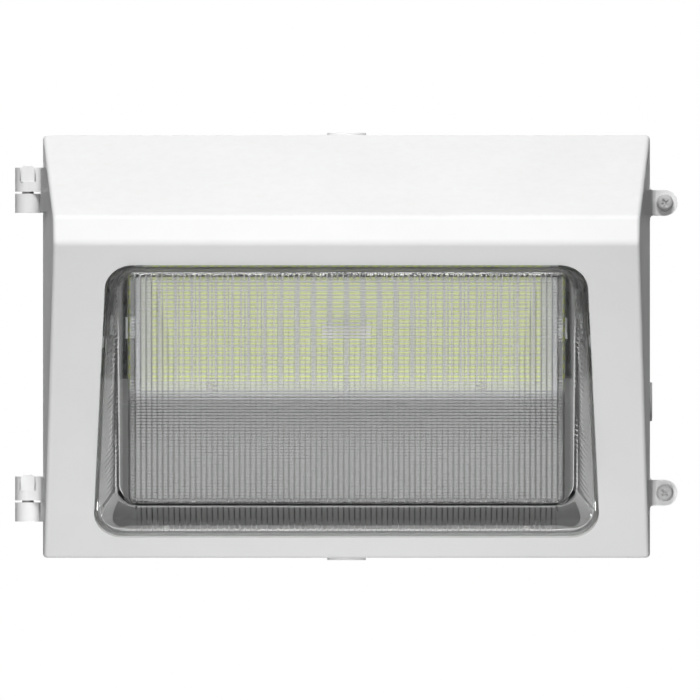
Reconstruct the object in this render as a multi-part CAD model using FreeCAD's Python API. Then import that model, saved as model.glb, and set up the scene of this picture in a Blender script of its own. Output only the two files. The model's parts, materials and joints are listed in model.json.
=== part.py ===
import FreeCAD, Part
import os
from math import acos, atan2, cos, degrees, hypot, radians, sin, tan

from FreeCAD import Placement, Rotation, Vector

# Wall pack light: a cast back housing on the wall, a cast door with a prismatic lens hung on two
# left-hand hinges, and an LED light engine with its driver inside.
# Millimetres. X is to the right seen from the front, Y runs into the wall, Z is up.
# The origin is the centre of the housing's back face, which lies on the wall at Y = 0.

# ---- housing and door shells
WIDTH = 362.0            # outside width at the parting plane
HEIGHT = 252.0           # outside height at the parting plane
HOUSING_DEPTH = 66.0     # wall to parting plane
WALL = 3.0               # cast wall of housing and door
BACK_WALL = 3.0          # cast wall against the building
CORNER = 3.2             # outside corner radius seen from the front
HOUSING_DRAFT = 1.5      # degrees, housing walls widen towards the door
DOOR_DRAFT = 3.5         # degrees, door walls narrow towards the nose
PARTING_GAP = 0.4        # door rim to housing rim

# ---- side outline of the door, down from the top
HOOD_DROP = 48.8         # fall of the sloping hood from the top edge to the ridge
BROW_HEIGHT = 15.9       # near-vertical brow below the ridge
NOSE_DEPTH = 184.0       # wall to the foot of the brow, the deepest line
RIDGE_SETBACK = 1.5      # ridge where hood meets brow, behind the deepest line
FOOT_DEPTH = 8.0         # parting plane to the lower edge of the sloping face
RIDGE_ROUND = 4.0
NOSE_ROUND = 7.0
FOOT_ROUND = 2.6
SIDE_ROUND = 2.6         # round between the side walls and hood, brow, face and foot

# ---- rim and door gasket
RIM_WIDTH = 8.4          # rim band of housing and door, measured in from the outside
RIM_DEPTH = 5.0          # housing rim ledge
DOOR_RIM_DEPTH = 6.4     # door rim band
GROOVE_INSET = 3.2       # outer side of the gasket groove
GROOVE_WIDTH = 3.6
GROOVE_DEPTH = 3.6
GASKET_HEIGHT = 2.4
TONGUE_WIDTH = 1.6       # housing tongue that presses on the gasket

# ---- fits
SOFT_FIT = 0.2           # gaskets beside their grooves
SEAT_GAP = 0.3           # between bodies that bear on each other when shut
PIN_RUN = 0.05           # hinge pin in the door knuckle, radial
SCREW_RUN = 0.08         # captive screw in the door ear, radial
SEATED = 0.02            # pins, plugs and fixed screws in their own holes, radial

# ---- lens opening in the sloping face, by its margins
OPENING_TOP = 15.3       # crease to the opening's top edge, along the face
OPENING_FOOT = 14.0      # opening's bottom edge to the door's lower edge, along the face
OPENING_SIDE_TOP = 38.4  # outside width to the opening at its top edge, each side
OPENING_SIDE_FOOT = 29.8
OPENING_ROUND = 17.0

# ---- lens
LENS_GAP = 1.2           # lens wall inside the opening
LENS_WALL = 3.0
LENS_FLANGE = 4.0        # flange beyond the opening
LENS_GASKET = 1.5
LENS_TOP_SETBACK = 1.0   # top edge of the lens front behind the deepest line
LENS_TOP_DROP = 15.8     # crease to the top edge of the lens front
LENS_FOLD_SETBACK = 38.0 # fold at the foot of the lens front behind the deepest line
LENS_FOLD_RISE = 29.6    # lower edge of the face up to the fold
LENS_IN_TOP = 5.6        # lens front inside the opening at its top, each side
LENS_IN_FOLD = 14.2      # lens front inside the opening at the fold, each side
LENS_ROUND = 13.0        # corners of the lens behind its rounded edge
LENS_CORNER = 1.5        # and of its flat front panel
LENS_EDGE_SIDE = 8.7     # rounded edge of the front: across, at each side
LENS_EDGE_FOLD = 4.5     # and at the fold
LENS_EDGE_TOP = 3.0      # and at the top
LENS_EDGE_DEPTH = 6.0    # and back from the front panel
LENS_EDGE_INSIDE = 0.6   # share of that round inside the glass
FLUTE_PITCH = 3.25       # upright prism ribs inside the lens front
FLUTE_HEIGHT = 0.7
CLIP_THICK = 1.2
CLIP_LENGTH = 15.0
CLIP_WIDTH = 9.0
CLIP_BOSS = 4.2
CLIP_SCREW = 2.0         # M4 shank radius
CLIPS_ACROSS = (-0.6, 0.0, 0.6)  # clips along the top, as shares of the opening's half width
CLIPS_DOWN = (0.3, 0.75)         # clips down each side, as shares of the opening's height
HOOK_WIDTH = 20.0        # cast hooks at the foot of the lens
HOOK_THICK = 3.0
HOOK_LIP = 2.0           # hook's hold on the flange

# ---- hinges at the left
HINGE_OUT = 9.0          # hinge axis beyond the side of the housing
KNUCKLE = 7.6            # knuckle radius
DOOR_KNUCKLE = 14.3
HOUSING_KNUCKLE = 11.4
KNUCKLE_GAP = 1.2
UPPER_HINGE_DROP = 19.4  # housing top down to the top of the upper door knuckle
LOWER_HINGE_RISE = 48.5  # housing foot up to the top of the lower door knuckle
PIN_RADIUS = 3.5
KNUCKLE_ROOF = 2.6       # metal over the pin
CLIP_TONGUE = 8.0        # width of the anti-lift tongue
TONGUE_SLIT = 0.9
TONGUE_RISE = 1.0        # tongue above the knuckle
TONGUE_DROP = 8.4        # slit depth below the knuckle's top
TONGUE_THICK = 2.0
SLIT_DEPTH = 6.4         # slits beside the tongue, into the knuckle from its front
TONGUE_NOSE = 3.0        # height of the tongue's catch in the pin's groove
HOUSING_ARM = 15.0       # housing knuckle's arm along the housing wall
ARM_MARGIN = 4.0         # arms and ears run out this far behind the door's face
KNUCKLE_PAD = 12.2       # sweep on the door beside the housing knuckle

# ---- ears and captive screws at the right
EAR_OUT = 8.8            # screw axis beyond the side of the housing
UPPER_EAR_DROP = 40.4    # housing top down to the upper screw
LOWER_EAR_RISE = 38.8    # housing foot up to the lower screw
EAR_RADIUS = 7.6
EAR_THICK = 7.6
EAR_FLARE = 2.0          # fillet above and below the ear's root
SWEEP = 1.4              # thickness of the sweep from an arm or ear onto the side wall
SWEEP_ROUND = 3.6
SCREW_RADIUS = 2.5       # M5
SCREW_HEAD = 5.05
SCREW_HEAD_HEIGHT = 3.7
CROSS_LENGTH = 4.8       # cross recess
CROSS_WIDTH = 1.0
CROSS_DEPTH = 1.8
SCREW_TRAVEL = 8.0       # loosened until its ring meets the ear
RING_RADIUS = 4.0
RING_THICK = 1.0
RING_ROOM = 0.6          # free room round and behind the ring
THREAD_LENGTH = 6.0      # engaged in the housing ear
THREAD_CORE = 2.05       # thread core radius, inside the tapped hole

# ---- conduit entries
PLUG_HEAD = 11.55        # plug head radius
PLUG_HEAD_HEIGHT = 2.0
PLUG_SEAT = 0.4          # seat of the plug, sunk below the widest outline
PLUG_THREAD = 10.4       # half-inch conduit thread
PLUG_LENGTH = 11.0
PLUG_SLOT_LENGTH = 14.3
PLUG_SLOT_WIDTH = 2.6
PLUG_SLOT_DEPTH = 1.2
HUB_RADIUS = 14.5
HUB_LENGTH = 15.0
ENTRY_DEPTH = 35.0       # wall to the centre of the conduit entries
SIDE_ENTRY_Z = -33.0
SEAL_THICK = 1.2
SEAL_WIDTH = 1.0

# ---- mounting to the wall or to a junction box
WALL_HOLE = 3.5          # hole radius
WALL_HOLE_X = 300.0      # hole spacing across
WALL_HOLE_Z = 190.0      # hole spacing up
WALL_PAD = 8.0
PAD_HEIGHT = 3.0
REAR_ENTRY = 11.1        # wiring hole radius
REAR_BOSS = 15.0
BOX_SPACING = 88.9       # junction-box screws
BOX_SLOT_HALF = 2.6      # half of the slot's width
BOX_SLOT_LENGTH = 14.0

# ---- light engine
BOARD_SETBACK = 64.0     # face of the LED board behind the deepest line
BOARD_THICK = 1.6
BOARD_DROP = 52.3        # crease to the middle LED row
LED_ROWS = 11
LED_PITCH_X = 4.84
LED_PITCH_Z = 5.49
LED_MARGIN = 64.4        # outside of the housing to the LED field
LED_WIDTH = 3.5
LED_HEIGHT = 2.8
LED_THICK = 0.7
BOARD_SIDE = 5.4         # board beyond the LEDs
BOARD_TOP = 4.7
BOARD_FOOT = 7.1
CONNECTOR_LENGTH = 28.0
CONNECTOR_HEIGHT = 7.0
CONNECTOR_THICK = 3.4
CONNECTOR_PINS = 9
PAD_THICK = 0.4          # thermal pad
PLATE_THICK = 3.0
PLATE_MARGIN = 4.0       # plate beyond the board
BRACKET_THICK = 2.0
BRACKET_TAB_LOW = 4.8    # front tab of the plate bracket
BRACKET_TAB_HIGH = 17.6
BRACKET_OUT = 8.0        # bracket leg beyond the plate
BRACKET_LAP = 10.0       # front tab behind the plate
BRACKET_FOOT = 16.0      # foot on the housing, across
BRACKET_FLARE = 22.0     # leg taller at the housing, above and below
FOOT_BOSS = 5.0          # bosses that lift feet off the back wall
BOSS_RADIUS = 5.0
SMALL_SCREW = 2.0        # M4 fixing screws
SMALL_HEAD = 3.9
SMALL_HEAD_HEIGHT = 2.4
SMALL_LENGTH = 7.0       # below the head
BOARD_SCREW = 1.5        # M3 board screws
BOARD_SCREW_HEAD = 2.9

# ---- gear cover below the board
COVER_THICK = 1.2
COVER_LAP = 12.0         # upper lip behind the plate
COVER_SIDE = 34.0        # outside of the housing to the cover, each side
COVER_SETBACK = 6.0      # cover's lower tab behind the parting plane
COVER_SLOPE_RISE = 26.0  # housing foot up to the bend of the lower tab
COVER_FOOT_RISE = 12.0   # housing foot up to the tab's edge
COVER_POST_IN = 17.0     # posts inside the ends of the LED plate
COVER_BEND = 3.0
COVER_RADII = [0, COVER_BEND, COVER_BEND, 0, 0, COVER_BEND + COVER_THICK, COVER_BEND, 0]

# ---- driver, surge protector and terminals on the back wall
DRIVER_LENGTH = 140.0
DRIVER_WIDTH = 52.0
DRIVER_HEIGHT = 30.0
DRIVER_RISE = 56.0       # housing foot up to the driver's middle
DRIVER_ROUND = 3.0
DRIVER_EAR = 12.0
DRIVER_EAR_THICK = 2.0
SIDE_GEAR_IN = 59.0      # surge protector and terminal block inside the housing's sides
SIDE_GEAR_RISE = 68.0    # housing foot up to their middles
SURGE_LENGTH = 44.0
SURGE_WIDTH = 22.0
SURGE_HEIGHT = 26.0
TERMINAL_POLES = 3
TERMINAL_PITCH = 12.0
TERMINAL_WIDTH = 24.0
TERMINAL_HEIGHT = 18.0
TERMINAL_SCREW = 2.6
TERMINAL_WELL = 6.0      # depth of the clamp screw wells
TERMINAL_SLOT = 0.8
EAR_TAB = 9.0            # fixing tabs of the surge protector and terminal block
EAR_TAB_THICK = 2.4
GROUND_IN = 95.0         # ground screw inside the housing's left side
GROUND_DROP = 64.0       # and below its top
LUG_THICK = 1.0
LUG_BARREL = 1.6
LUG_LENGTH = 12.0        # screw to the lead's end of the lug
LEAD_RADIUS = 1.1
LEAD_BEND = 9.0
LEAD_DEPTH = 6.0         # step in depth from lead to lead
LEAD_APART = 5.0

# ---- derived heights and lines
TOP = HEIGHT / 2
SIDE = WIDTH / 2
RIDGE_Z = TOP - HOOD_DROP
RIDGE_DEPTH = NOSE_DEPTH - RIDGE_SETBACK
CREASE_Z = RIDGE_Z - BROW_HEIGHT
DOOR_BACK = HOUSING_DEPTH + PARTING_GAP
FACE_RUN = NOSE_DEPTH - HOUSING_DEPTH - FOOT_DEPTH
FACE_TILT = degrees(atan2(FACE_RUN, CREASE_Z + TOP))
FACE_LENGTH = hypot(FACE_RUN, CREASE_Z + TOP)
FLANGE_FRONT = WALL + LENS_GASKET
FLANGE_BACK = FLANGE_FRONT + LENS_WALL
HINGE_X = -SIDE - HINGE_OUT
EAR_X = SIDE + EAR_OUT
EAR_FRONT = DOOR_BACK + EAR_THICK
BOARD_FACE = NOSE_DEPTH - BOARD_SETBACK
BOARD_MIDDLE = CREASE_Z - BOARD_DROP
LED_COLUMNS = round(2 * (SIDE - LED_MARGIN) / LED_PITCH_X)
PLATE_FRONT = BOARD_FACE - BOARD_THICK - PAD_THICK
PLATE_BACK = PLATE_FRONT - PLATE_THICK
FIELD_X = (LED_COLUMNS - 1) * LED_PITCH_X / 2
FIELD_Z = (LED_ROWS - 1) * LED_PITCH_Z / 2
BOARD_HALF = FIELD_X + LED_WIDTH / 2 + BOARD_SIDE
BOARD_HIGH = BOARD_MIDDLE + FIELD_Z + LED_HEIGHT / 2 + BOARD_TOP
BOARD_LOW = BOARD_MIDDLE - FIELD_Z - LED_HEIGHT / 2 - BOARD_FOOT
PLATE_HALF = BOARD_HALF + PLATE_MARGIN
PLATE_HIGH = BOARD_HIGH + PLATE_MARGIN
PLATE_LOW = BOARD_LOW - PLATE_MARGIN
FOOT_SEAT = BACK_WALL + FOOT_BOSS
COVER_FOOT_DEPTH = HOUSING_DEPTH - COVER_SETBACK
COVER_SLOPE_FOOT = COVER_SLOPE_RISE - TOP
COVER_FOOT = COVER_FOOT_RISE - TOP
DRIVER_Z = DRIVER_RISE - TOP
SURGE_X = SIDE - SIDE_GEAR_IN
TERMINAL_X = SIDE_GEAR_IN - SIDE
GEAR_Z = SIDE_GEAR_RISE - TOP
GROUND_X = GROUND_IN - SIDE
GROUND_Z = TOP - GROUND_DROP
LUG_DEPTH = FOOT_SEAT + LUG_BARREL + SOFT_FIT
HINGES = {"upper": TOP - UPPER_HINGE_DROP, "lower": LOWER_HINGE_RISE - TOP}
EARS = {"upper": TOP - UPPER_EAR_DROP, "lower": LOWER_EAR_RISE - TOP}


# ---- drawing helpers

def front_frame(x=0.0, depth=0.0, z=0.0, tilt=0.0):
    """Frame at a depth off the wall: local x to the right, y up, z out to the front."""
    return Placement(Vector(x, -depth, z), Rotation(Vector(1, 0, 0), 90 + tilt))


PLAN = Placement()
SECTION = Placement(Vector(), Rotation(Vector(0, 1, 0), Vector(0, 0, 1), Vector(1, 0, 0), "XYZ"))
BACK = front_frame()
FACE = front_frame(0, NOSE_DEPTH, CREASE_Z, FACE_TILT)
LENS_RUN = LENS_FOLD_SETBACK - LENS_TOP_SETBACK
LENS_FALL = CREASE_Z - LENS_TOP_DROP - LENS_FOLD_RISE + TOP
LENS_TILT = degrees(atan2(LENS_RUN, LENS_FALL))
LENS_LENGTH = hypot(LENS_RUN, LENS_FALL)
LENS_FRONT = front_frame(0, NOSE_DEPTH - LENS_TOP_SETBACK, CREASE_Z - LENS_TOP_DROP, LENS_TILT)


def lifted(place, height):
    """The same frame moved along its own z."""
    return place.multiply(Placement(Vector(0, 0, height), Rotation()))


def rounded_outline(points, radii, place):
    """Closed wire through 2-D corners, each rounded with its own radius."""
    arrive, middle, leave = [], [], []
    for i, point in enumerate(points):
        corner = Vector(*point, 0)
        back = Vector(*points[i - 1], 0) - corner
        ahead = Vector(*points[(i + 1) % len(points)], 0) - corner
        half = back.getAngle(ahead) / 2
        back.normalize()
        ahead.normalize()
        run = radii[i] / tan(half)
        bisector = (back + ahead).normalize() if radii[i] else Vector()
        arrive.append(place.multVec(corner + back * run))
        middle.append(place.multVec(corner + bisector * (radii[i] / sin(half) - radii[i])))
        leave.append(place.multVec(corner + ahead * run))
    edges = []
    for i, radius in enumerate(radii):
        if radius:
            edges.append(Part.Arc(arrive[i], middle[i], leave[i]).toShape())
        edges.append(Part.LineSegment(leave[i], arrive[(i + 1) % len(points)]).toShape())
    return Part.Wire(edges)


def slab(points, radii, place, low, high):
    """Rounded outline extruded along its frame's z from low to high."""
    if not isinstance(radii, (list, tuple)):
        radii = [radii] * len(points)
    start = lifted(place, low)
    face = Part.Face(rounded_outline(points, radii, start))
    return face.extrude(start.Rotation.multVec(Vector(0, 0, high - low)))


def rod(place, radius, low, high):
    """Cylinder on its frame's z axis from low to high."""
    axis = place.Rotation.multVec(Vector(0, 0, 1))
    return Part.makeCylinder(radius, high - low, place.multVec(Vector(0, 0, low)), axis)


def at(place, x, y):
    """The same frame moved to a point of its own plane."""
    return place.multiply(Placement(Vector(x, y, 0), Rotation()))


def rectangle(half_x, half_y, x=0.0, y=0.0):
    return [(x - half_x, y - half_y), (x + half_x, y - half_y),
            (x + half_x, y + half_y), (x - half_x, y + half_y)]


def block(x0, x1, depth0, depth1, z0, z1, radius=0.0):
    """Box between two depths off the wall, its upright outline rounded."""
    outline = [(x0, z0), (x1, z0), (x1, z1), (x0, z1)]
    return slab(outline, radius, BACK, depth0, depth1)


def inset_polygon(points, amounts):
    """Polygon with each side moved inwards by its amount; side i runs from corner i."""
    pairs = list(zip(points, points[1:] + points[:1]))
    turn = sum(x0 * y1 - x1 * y0 for (x0, y0), (x1, y1) in pairs)
    sense = 1 if turn > 0 else -1
    sides = []
    for ((x0, y0), (x1, y1)), amount in zip(pairs, amounts):
        run = hypot(x1 - x0, y1 - y0)
        nx, ny = -sense * (y1 - y0) / run, sense * (x1 - x0) / run
        sides.append((nx, ny, nx * x0 + ny * y0 + amount))
    corners = []
    for (a, b, c), (d, e, f) in zip(sides[-1:] + sides[:-1], sides):
        across = a * e - b * d
        corners.append(((c * e - b * f) / across, (a * f - c * d) / across))
    return corners


def fused(first, *others):
    """One solid from pieces that overlap or share a face."""
    shape = first.multiFuse(list(others)) if others else first
    return shape.removeSplitter()


def tangent_point(centre, radius, outside, sense):
    """Where the tangent from a point outside touches a circle, on the chosen side."""
    dx, dy = outside[0] - centre[0], outside[1] - centre[1]
    angle = atan2(dy, dx) + sense * acos(radius / hypot(dx, dy))
    return centre[0] + radius * cos(angle), centre[1] + radius * sin(angle)


def ring(outer, outer_round, inner, inner_round, place, low, high):
    """Frame-shaped band between two outlines."""
    hole = slab(inner, inner_round, place, low - 1, high + 1)
    return slab(outer, outer_round, place, low, high).cut(hole)


def rim_ring(outer_inset, inner_inset, low, high):
    """Band that follows the outline of the parting plane."""
    outer = rectangle(SIDE - outer_inset, TOP - outer_inset)
    inner = rectangle(SIDE - inner_inset, TOP - inner_inset)
    outer_round = max(CORNER - outer_inset, 0.8)
    inner_round = max(CORNER - inner_inset, 0.8)
    return ring(outer, outer_round, inner, inner_round, BACK, low, high)


# ---- outlines shared by the door, lens and their seals

def door_profile(inset, rim_extra=0.0):
    """Side outline of the door as (Y, Z), moved in by a wall; the rim side may run on."""
    corners = [(-DOOR_BACK, TOP), (-RIDGE_DEPTH, RIDGE_Z), (-NOSE_DEPTH, CREASE_Z),
               (-HOUSING_DEPTH - FOOT_DEPTH, -TOP), (-DOOR_BACK, -TOP)]
    return inset_polygon(corners, [inset] * 4 + [-rim_extra])


def door_half_width(depth):
    return SIDE - (depth - DOOR_BACK) * tan(radians(DOOR_DRAFT))


def face_depth(z):
    """Depth of the door's front outline at a height."""
    if z >= RIDGE_Z:
        return DOOR_BACK + (TOP - z) * (RIDGE_DEPTH - DOOR_BACK) / HOOD_DROP
    return NOSE_DEPTH - (CREASE_Z - z) * FACE_RUN / (CREASE_Z + TOP)


def door_body(inset, rim_extra=0.0):
    """Door filled solid, moved in by a wall."""
    round_off = inset and WALL
    radii = [0, RIDGE_ROUND - round_off, NOSE_ROUND - round_off,
             max(FOOT_ROUND - round_off, 0.5), 0]
    side = slab(door_profile(inset, rim_extra), radii, SECTION, -SIDE, SIDE)
    near, far = DOOR_BACK - rim_extra, NOSE_DEPTH + WALL
    near_half = door_half_width(near) - inset
    far_half = door_half_width(far) - inset
    plan = [(-far_half, -far), (far_half, -far), (near_half, -near), (-near_half, -near)]
    return side.common(slab(plan, 0, PLAN, -TOP, TOP))


def opening_outline(grow):
    """Lens opening on the door's face, in the face's frame, grown outwards."""
    top, foot = -OPENING_TOP, OPENING_FOOT - FACE_LENGTH
    corners = [(-SIDE + OPENING_SIDE_FOOT, foot), (SIDE - OPENING_SIDE_FOOT, foot),
               (SIDE - OPENING_SIDE_TOP, top), (-SIDE + OPENING_SIDE_TOP, top)]
    return inset_polygon(corners, [-grow] * 4), [OPENING_ROUND + grow] * 4


def lens_front_outline(inset, edge=1.0):
    """Lens front in its own tilted frame: the flat panel, or at edge 0 outside its rounded edge."""
    half_top = SIDE - OPENING_SIDE_TOP - LENS_IN_TOP
    half_fold = SIDE - OPENING_SIDE_FOOT - LENS_IN_FOLD
    corners = [(-half_fold, -LENS_LENGTH), (half_fold, -LENS_LENGTH), (half_top, 0), (-half_top, 0)]
    edges = (LENS_EDGE_FOLD, LENS_EDGE_SIDE, LENS_EDGE_TOP, LENS_EDGE_SIDE)
    corner = LENS_ROUND - inset + edge * (LENS_CORNER - LENS_ROUND)
    outline = inset_polygon(corners, [inset + edge * width for width in edges])
    return outline, [max(corner, LENS_CORNER)] * 4


# ---- back housing and what is fixed to it

def tapered_box(half_x, half_z, near, far, draft):
    """Box that widens towards the door, between two depths; sizes are at the parting plane."""
    wires = []
    for depth in (near, far):
        less = (HOUSING_DEPTH - depth) * tan(radians(draft))
        outline = rectangle(half_x - less, half_z - less)
        wires.append(rounded_outline(outline, [CORNER] * 4, lifted(BACK, depth)))
    return Part.makeLoft(wires, True, True)


def entry_frames():
    """Conduit entries: frames on their seats with z pointing out of the housing."""
    seat_z, seat_x = TOP - PLUG_SEAT, SIDE - PLUG_SEAT
    top = Placement(Vector(0, -ENTRY_DEPTH, seat_z), Rotation())
    bottom = Placement(Vector(0, -ENTRY_DEPTH, -seat_z), Rotation(Vector(1, 0, 0), 180))
    right = Placement(Vector(seat_x, -ENTRY_DEPTH, SIDE_ENTRY_Z), Rotation(Vector(0, 1, 0), 90))
    return {"top": top, "bottom": bottom, "right": right}


def driver_screw_points():
    reach = DRIVER_LENGTH / 2 + DRIVER_EAR / 2
    return [(-reach, DRIVER_Z), (reach, DRIVER_Z)]


def bracket_screw_points():
    foot_x = PLATE_HALF + BRACKET_OUT + BRACKET_FOOT / 2
    return [(side * foot_x, z) for side in (-1, 1) for z in (BRACKET_TAB_LOW - BRACKET_FLARE / 2,
                                                           BRACKET_TAB_HIGH + BRACKET_FLARE / 2)]


def tab_screw_points():
    """Fixing points of the surge protector and terminal block: one tab at each end."""
    surge = (SURGE_LENGTH + EAR_TAB) / 2
    terminal = (TERMINAL_POLES * TERMINAL_PITCH + EAR_TAB) / 2
    return [(SURGE_X - surge, GEAR_Z), (SURGE_X + surge, GEAR_Z),
            (TERMINAL_X - terminal, GEAR_Z), (TERMINAL_X + terminal, GEAR_Z)]


def cover_post_points():
    x, z = PLATE_HALF - COVER_POST_IN, (COVER_SLOPE_FOOT + COVER_FOOT) / 2
    return [(-x, z), (x, z)]


def housing_knuckle(top):
    """Housing half of a hinge: a knuckle on an arm that runs back along the wall."""
    high = top - DOOR_KNUCKLE - KNUCKLE_GAP
    centre = (HINGE_X, -HOUSING_DEPTH)
    root = (-SIDE + WALL / 2, -HOUSING_DEPTH + HOUSING_ARM)
    touch = tangent_point(centre, KNUCKLE, root, 1)
    arm = [centre, (-SIDE + WALL / 2, -HOUSING_DEPTH), root, touch]
    web = slab(arm, 0, PLAN, high - HOUSING_KNUCKLE, high)
    axis = Placement(Vector(*centre, 0), Rotation())
    barrel = rod(axis, KNUCKLE, high - HOUSING_KNUCKLE, high)
    bore = rod(axis, PIN_RADIUS + SEATED, high - HOUSING_KNUCKLE - 1, high + 1)
    return web.fuse(barrel), bore


def housing_ear(z):
    """Tapped ear behind the door's ear, with room for the captive screw's ring."""
    ear = front_frame(EAR_X, HOUSING_DEPTH, z)
    ring_floor = SCREW_TRAVEL + RING_THICK + RING_ROOM - PARTING_GAP
    depth = ring_floor + THREAD_LENGTH + RING_ROOM
    barrel = rod(ear, EAR_RADIUS, -depth - WALL, 0)
    web = slab(rectangle(EAR_OUT / 2 + WALL / 4, EAR_RADIUS, -EAR_OUT / 2 - WALL / 4), 0, ear,
               -depth - WALL, 0)
    pocket = rod(ear, RING_RADIUS + RING_ROOM, -ring_floor, 1)
    tapped = rod(ear, SCREW_RADIUS, -depth, 1)
    return barrel.fuse(web), pocket.fuse(tapped)


def back_housing():
    shell = tapered_box(SIDE, TOP, 0, HOUSING_DEPTH, HOUSING_DRAFT)
    hollow = tapered_box(SIDE - WALL, TOP - WALL, BACK_WALL, HOUSING_DEPTH, HOUSING_DRAFT)
    ledge = rim_ring(WALL / 2, RIM_WIDTH, HOUSING_DEPTH - RIM_DEPTH, HOUSING_DEPTH)
    tongue_inset = GROOVE_INSET + (GROOVE_WIDTH - TONGUE_WIDTH) / 2
    tongue_top = DOOR_BACK + GROOVE_DEPTH - GASKET_HEIGHT - SEAT_GAP
    tongue = rim_ring(tongue_inset, tongue_inset + TONGUE_WIDTH, HOUSING_DEPTH - WALL / 2, tongue_top)
    solids, holes = [ledge, tongue], []
    for frame in entry_frames().values():
        solids.append(rod(frame, HUB_RADIUS, -HUB_LENGTH, 0))
        holes.append(rod(frame, PLUG_THREAD + SEATED, -HUB_LENGTH - 1, 1))
        holes.append(rod(frame, PLUG_THREAD + SEAL_WIDTH, -SEAL_THICK, 1))
    for top in HINGES.values():
        solid, hole = housing_knuckle(top)
        solids.append(solid)
        holes.append(hole)
    for z in EARS.values():
        solid, hole = housing_ear(z)
        solids.append(solid)
        holes.append(hole)
    low_bosses = driver_screw_points() + bracket_screw_points() + tab_screw_points()
    for x, z in low_bosses + [(GROUND_X, GROUND_Z)]:
        solids.append(rod(at(BACK, x, z), BOSS_RADIUS, BACK_WALL / 2, FOOT_SEAT))
        holes.append(rod(at(BACK, x, z), SMALL_SCREW + SEATED, BACK_WALL / 2, FOOT_SEAT + 1))
    for x, z in cover_post_points():
        solids.append(rod(at(BACK, x, z), BOSS_RADIUS, BACK_WALL / 2, COVER_FOOT_DEPTH))
        hole_floor = COVER_FOOT_DEPTH - 2 * SMALL_LENGTH
        holes.append(rod(at(BACK, x, z), SMALL_SCREW + SEATED, hole_floor, COVER_FOOT_DEPTH + 1))
    for x in (-WALL_HOLE_X / 2, WALL_HOLE_X / 2):
        for z in (-WALL_HOLE_Z / 2, WALL_HOLE_Z / 2):
            solids.append(rod(at(BACK, x, z), WALL_PAD, BACK_WALL / 2, BACK_WALL + PAD_HEIGHT))
            holes.append(rod(at(BACK, x, z), WALL_HOLE, -1, BACK_WALL + PAD_HEIGHT + 1))
    solids.append(rod(BACK, REAR_BOSS, BACK_WALL / 2, BACK_WALL + PAD_HEIGHT))
    holes.append(rod(BACK, REAR_ENTRY, -1, BACK_WALL + PAD_HEIGHT + 1))
    for x in (-BOX_SPACING / 2, BOX_SPACING / 2):
        slot = rectangle(BOX_SLOT_LENGTH / 2, BOX_SLOT_HALF, x)
        pad = rectangle(BOX_SLOT_LENGTH / 2 + PAD_HEIGHT, BOX_SLOT_HALF + PAD_HEIGHT, x)
        solids.append(slab(pad, PAD_HEIGHT, BACK, BACK_WALL / 2, BACK_WALL + PAD_HEIGHT))
        holes.append(slab(slot, BOX_SLOT_HALF - SEATED, BACK, -1, BACK_WALL + PAD_HEIGHT + 1))
    return fused(shell.cut(hollow), *solids).cut(Part.makeCompound(holes))


def conduit_plug(frame):
    """Slotted plug whose head covers the entry."""
    head = rod(frame, PLUG_HEAD, 0, PLUG_HEAD_HEIGHT)
    thread = rod(frame, PLUG_THREAD, -PLUG_LENGTH, 0)
    slot = slab(rectangle(PLUG_SLOT_LENGTH / 2, PLUG_SLOT_WIDTH / 2), 0, frame,
                PLUG_HEAD_HEIGHT - PLUG_SLOT_DEPTH, PLUG_HEAD_HEIGHT + 1)
    return head.fuse(thread).removeSplitter().cut(slot)


def plug_seals():
    seals = []
    for frame in entry_frames().values():
        outer = rod(frame, PLUG_THREAD + SEAL_WIDTH - SEATED, -SEAL_THICK, 0)
        seals.append(outer.cut(rod(frame, PLUG_THREAD + SEATED, -SEAL_THICK - 1, 1)))
    return Part.makeCompound(seals)


def pin_groove_height(top):
    """Middle of the pin's groove, where the tongue's catch sits."""
    return top - TONGUE_DROP + TONGUE_NOSE / 2 + SEAT_GAP


def hinge_pin(top):
    """Pin fixed in the housing knuckle, standing up into the door knuckle."""
    low = top - DOOR_KNUCKLE - KNUCKLE_GAP - HOUSING_KNUCKLE
    high = top - KNUCKLE_ROOF - SEAT_GAP
    axis = Placement(Vector(HINGE_X, -HOUSING_DEPTH, 0), Rotation())
    groove_half = TONGUE_NOSE / 2 + SEAT_GAP
    middle = pin_groove_height(top)
    sleeve = rod(axis, PIN_RADIUS + 1, middle - groove_half, middle + groove_half)
    groove = sleeve.cut(rod(axis, PIN_RADIUS - 1, middle - groove_half, middle + groove_half))
    return rod(axis, PIN_RADIUS, low, high).cut(groove)


# ---- light engine

def led_points():
    """Centres of the LED packages; the middle row leaves room for the connector."""
    points = []
    for row in range(LED_ROWS):
        z = BOARD_MIDDLE + row * LED_PITCH_Z - FIELD_Z
        for column in range(LED_COLUMNS):
            x = column * LED_PITCH_X - FIELD_X
            near_x = abs(x) < (CONNECTOR_LENGTH + LED_WIDTH) / 2
            near_z = abs(z - BOARD_MIDDLE) < (CONNECTOR_HEIGHT + LED_HEIGHT) / 2
            if not (near_x and near_z):
                points.append((x, z))
    return points


def led_packages():
    chips = []
    for x, z in led_points():
        corner = Vector(x - LED_WIDTH / 2, -BOARD_FACE - LED_THICK, z - LED_HEIGHT / 2)
        chips.append(Part.makeBox(LED_WIDTH, LED_THICK, LED_HEIGHT, corner))
    return Part.makeCompound(chips)


def board_screw_points():
    z = BOARD_LOW + BOARD_FOOT / 2
    return [(x, z) for x in (-2 * BOARD_HALF / 3, 0, 2 * BOARD_HALF / 3)]


def wire_window(low, high):
    """Passage of the supply leads through plate, pad and board, behind the connector."""
    half_x, half_z = CONNECTOR_LENGTH / 4, CONNECTOR_HEIGHT / 3
    return slab(rectangle(half_x, half_z, 0, BOARD_MIDDLE), 1.0, BACK, low, high)


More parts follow.
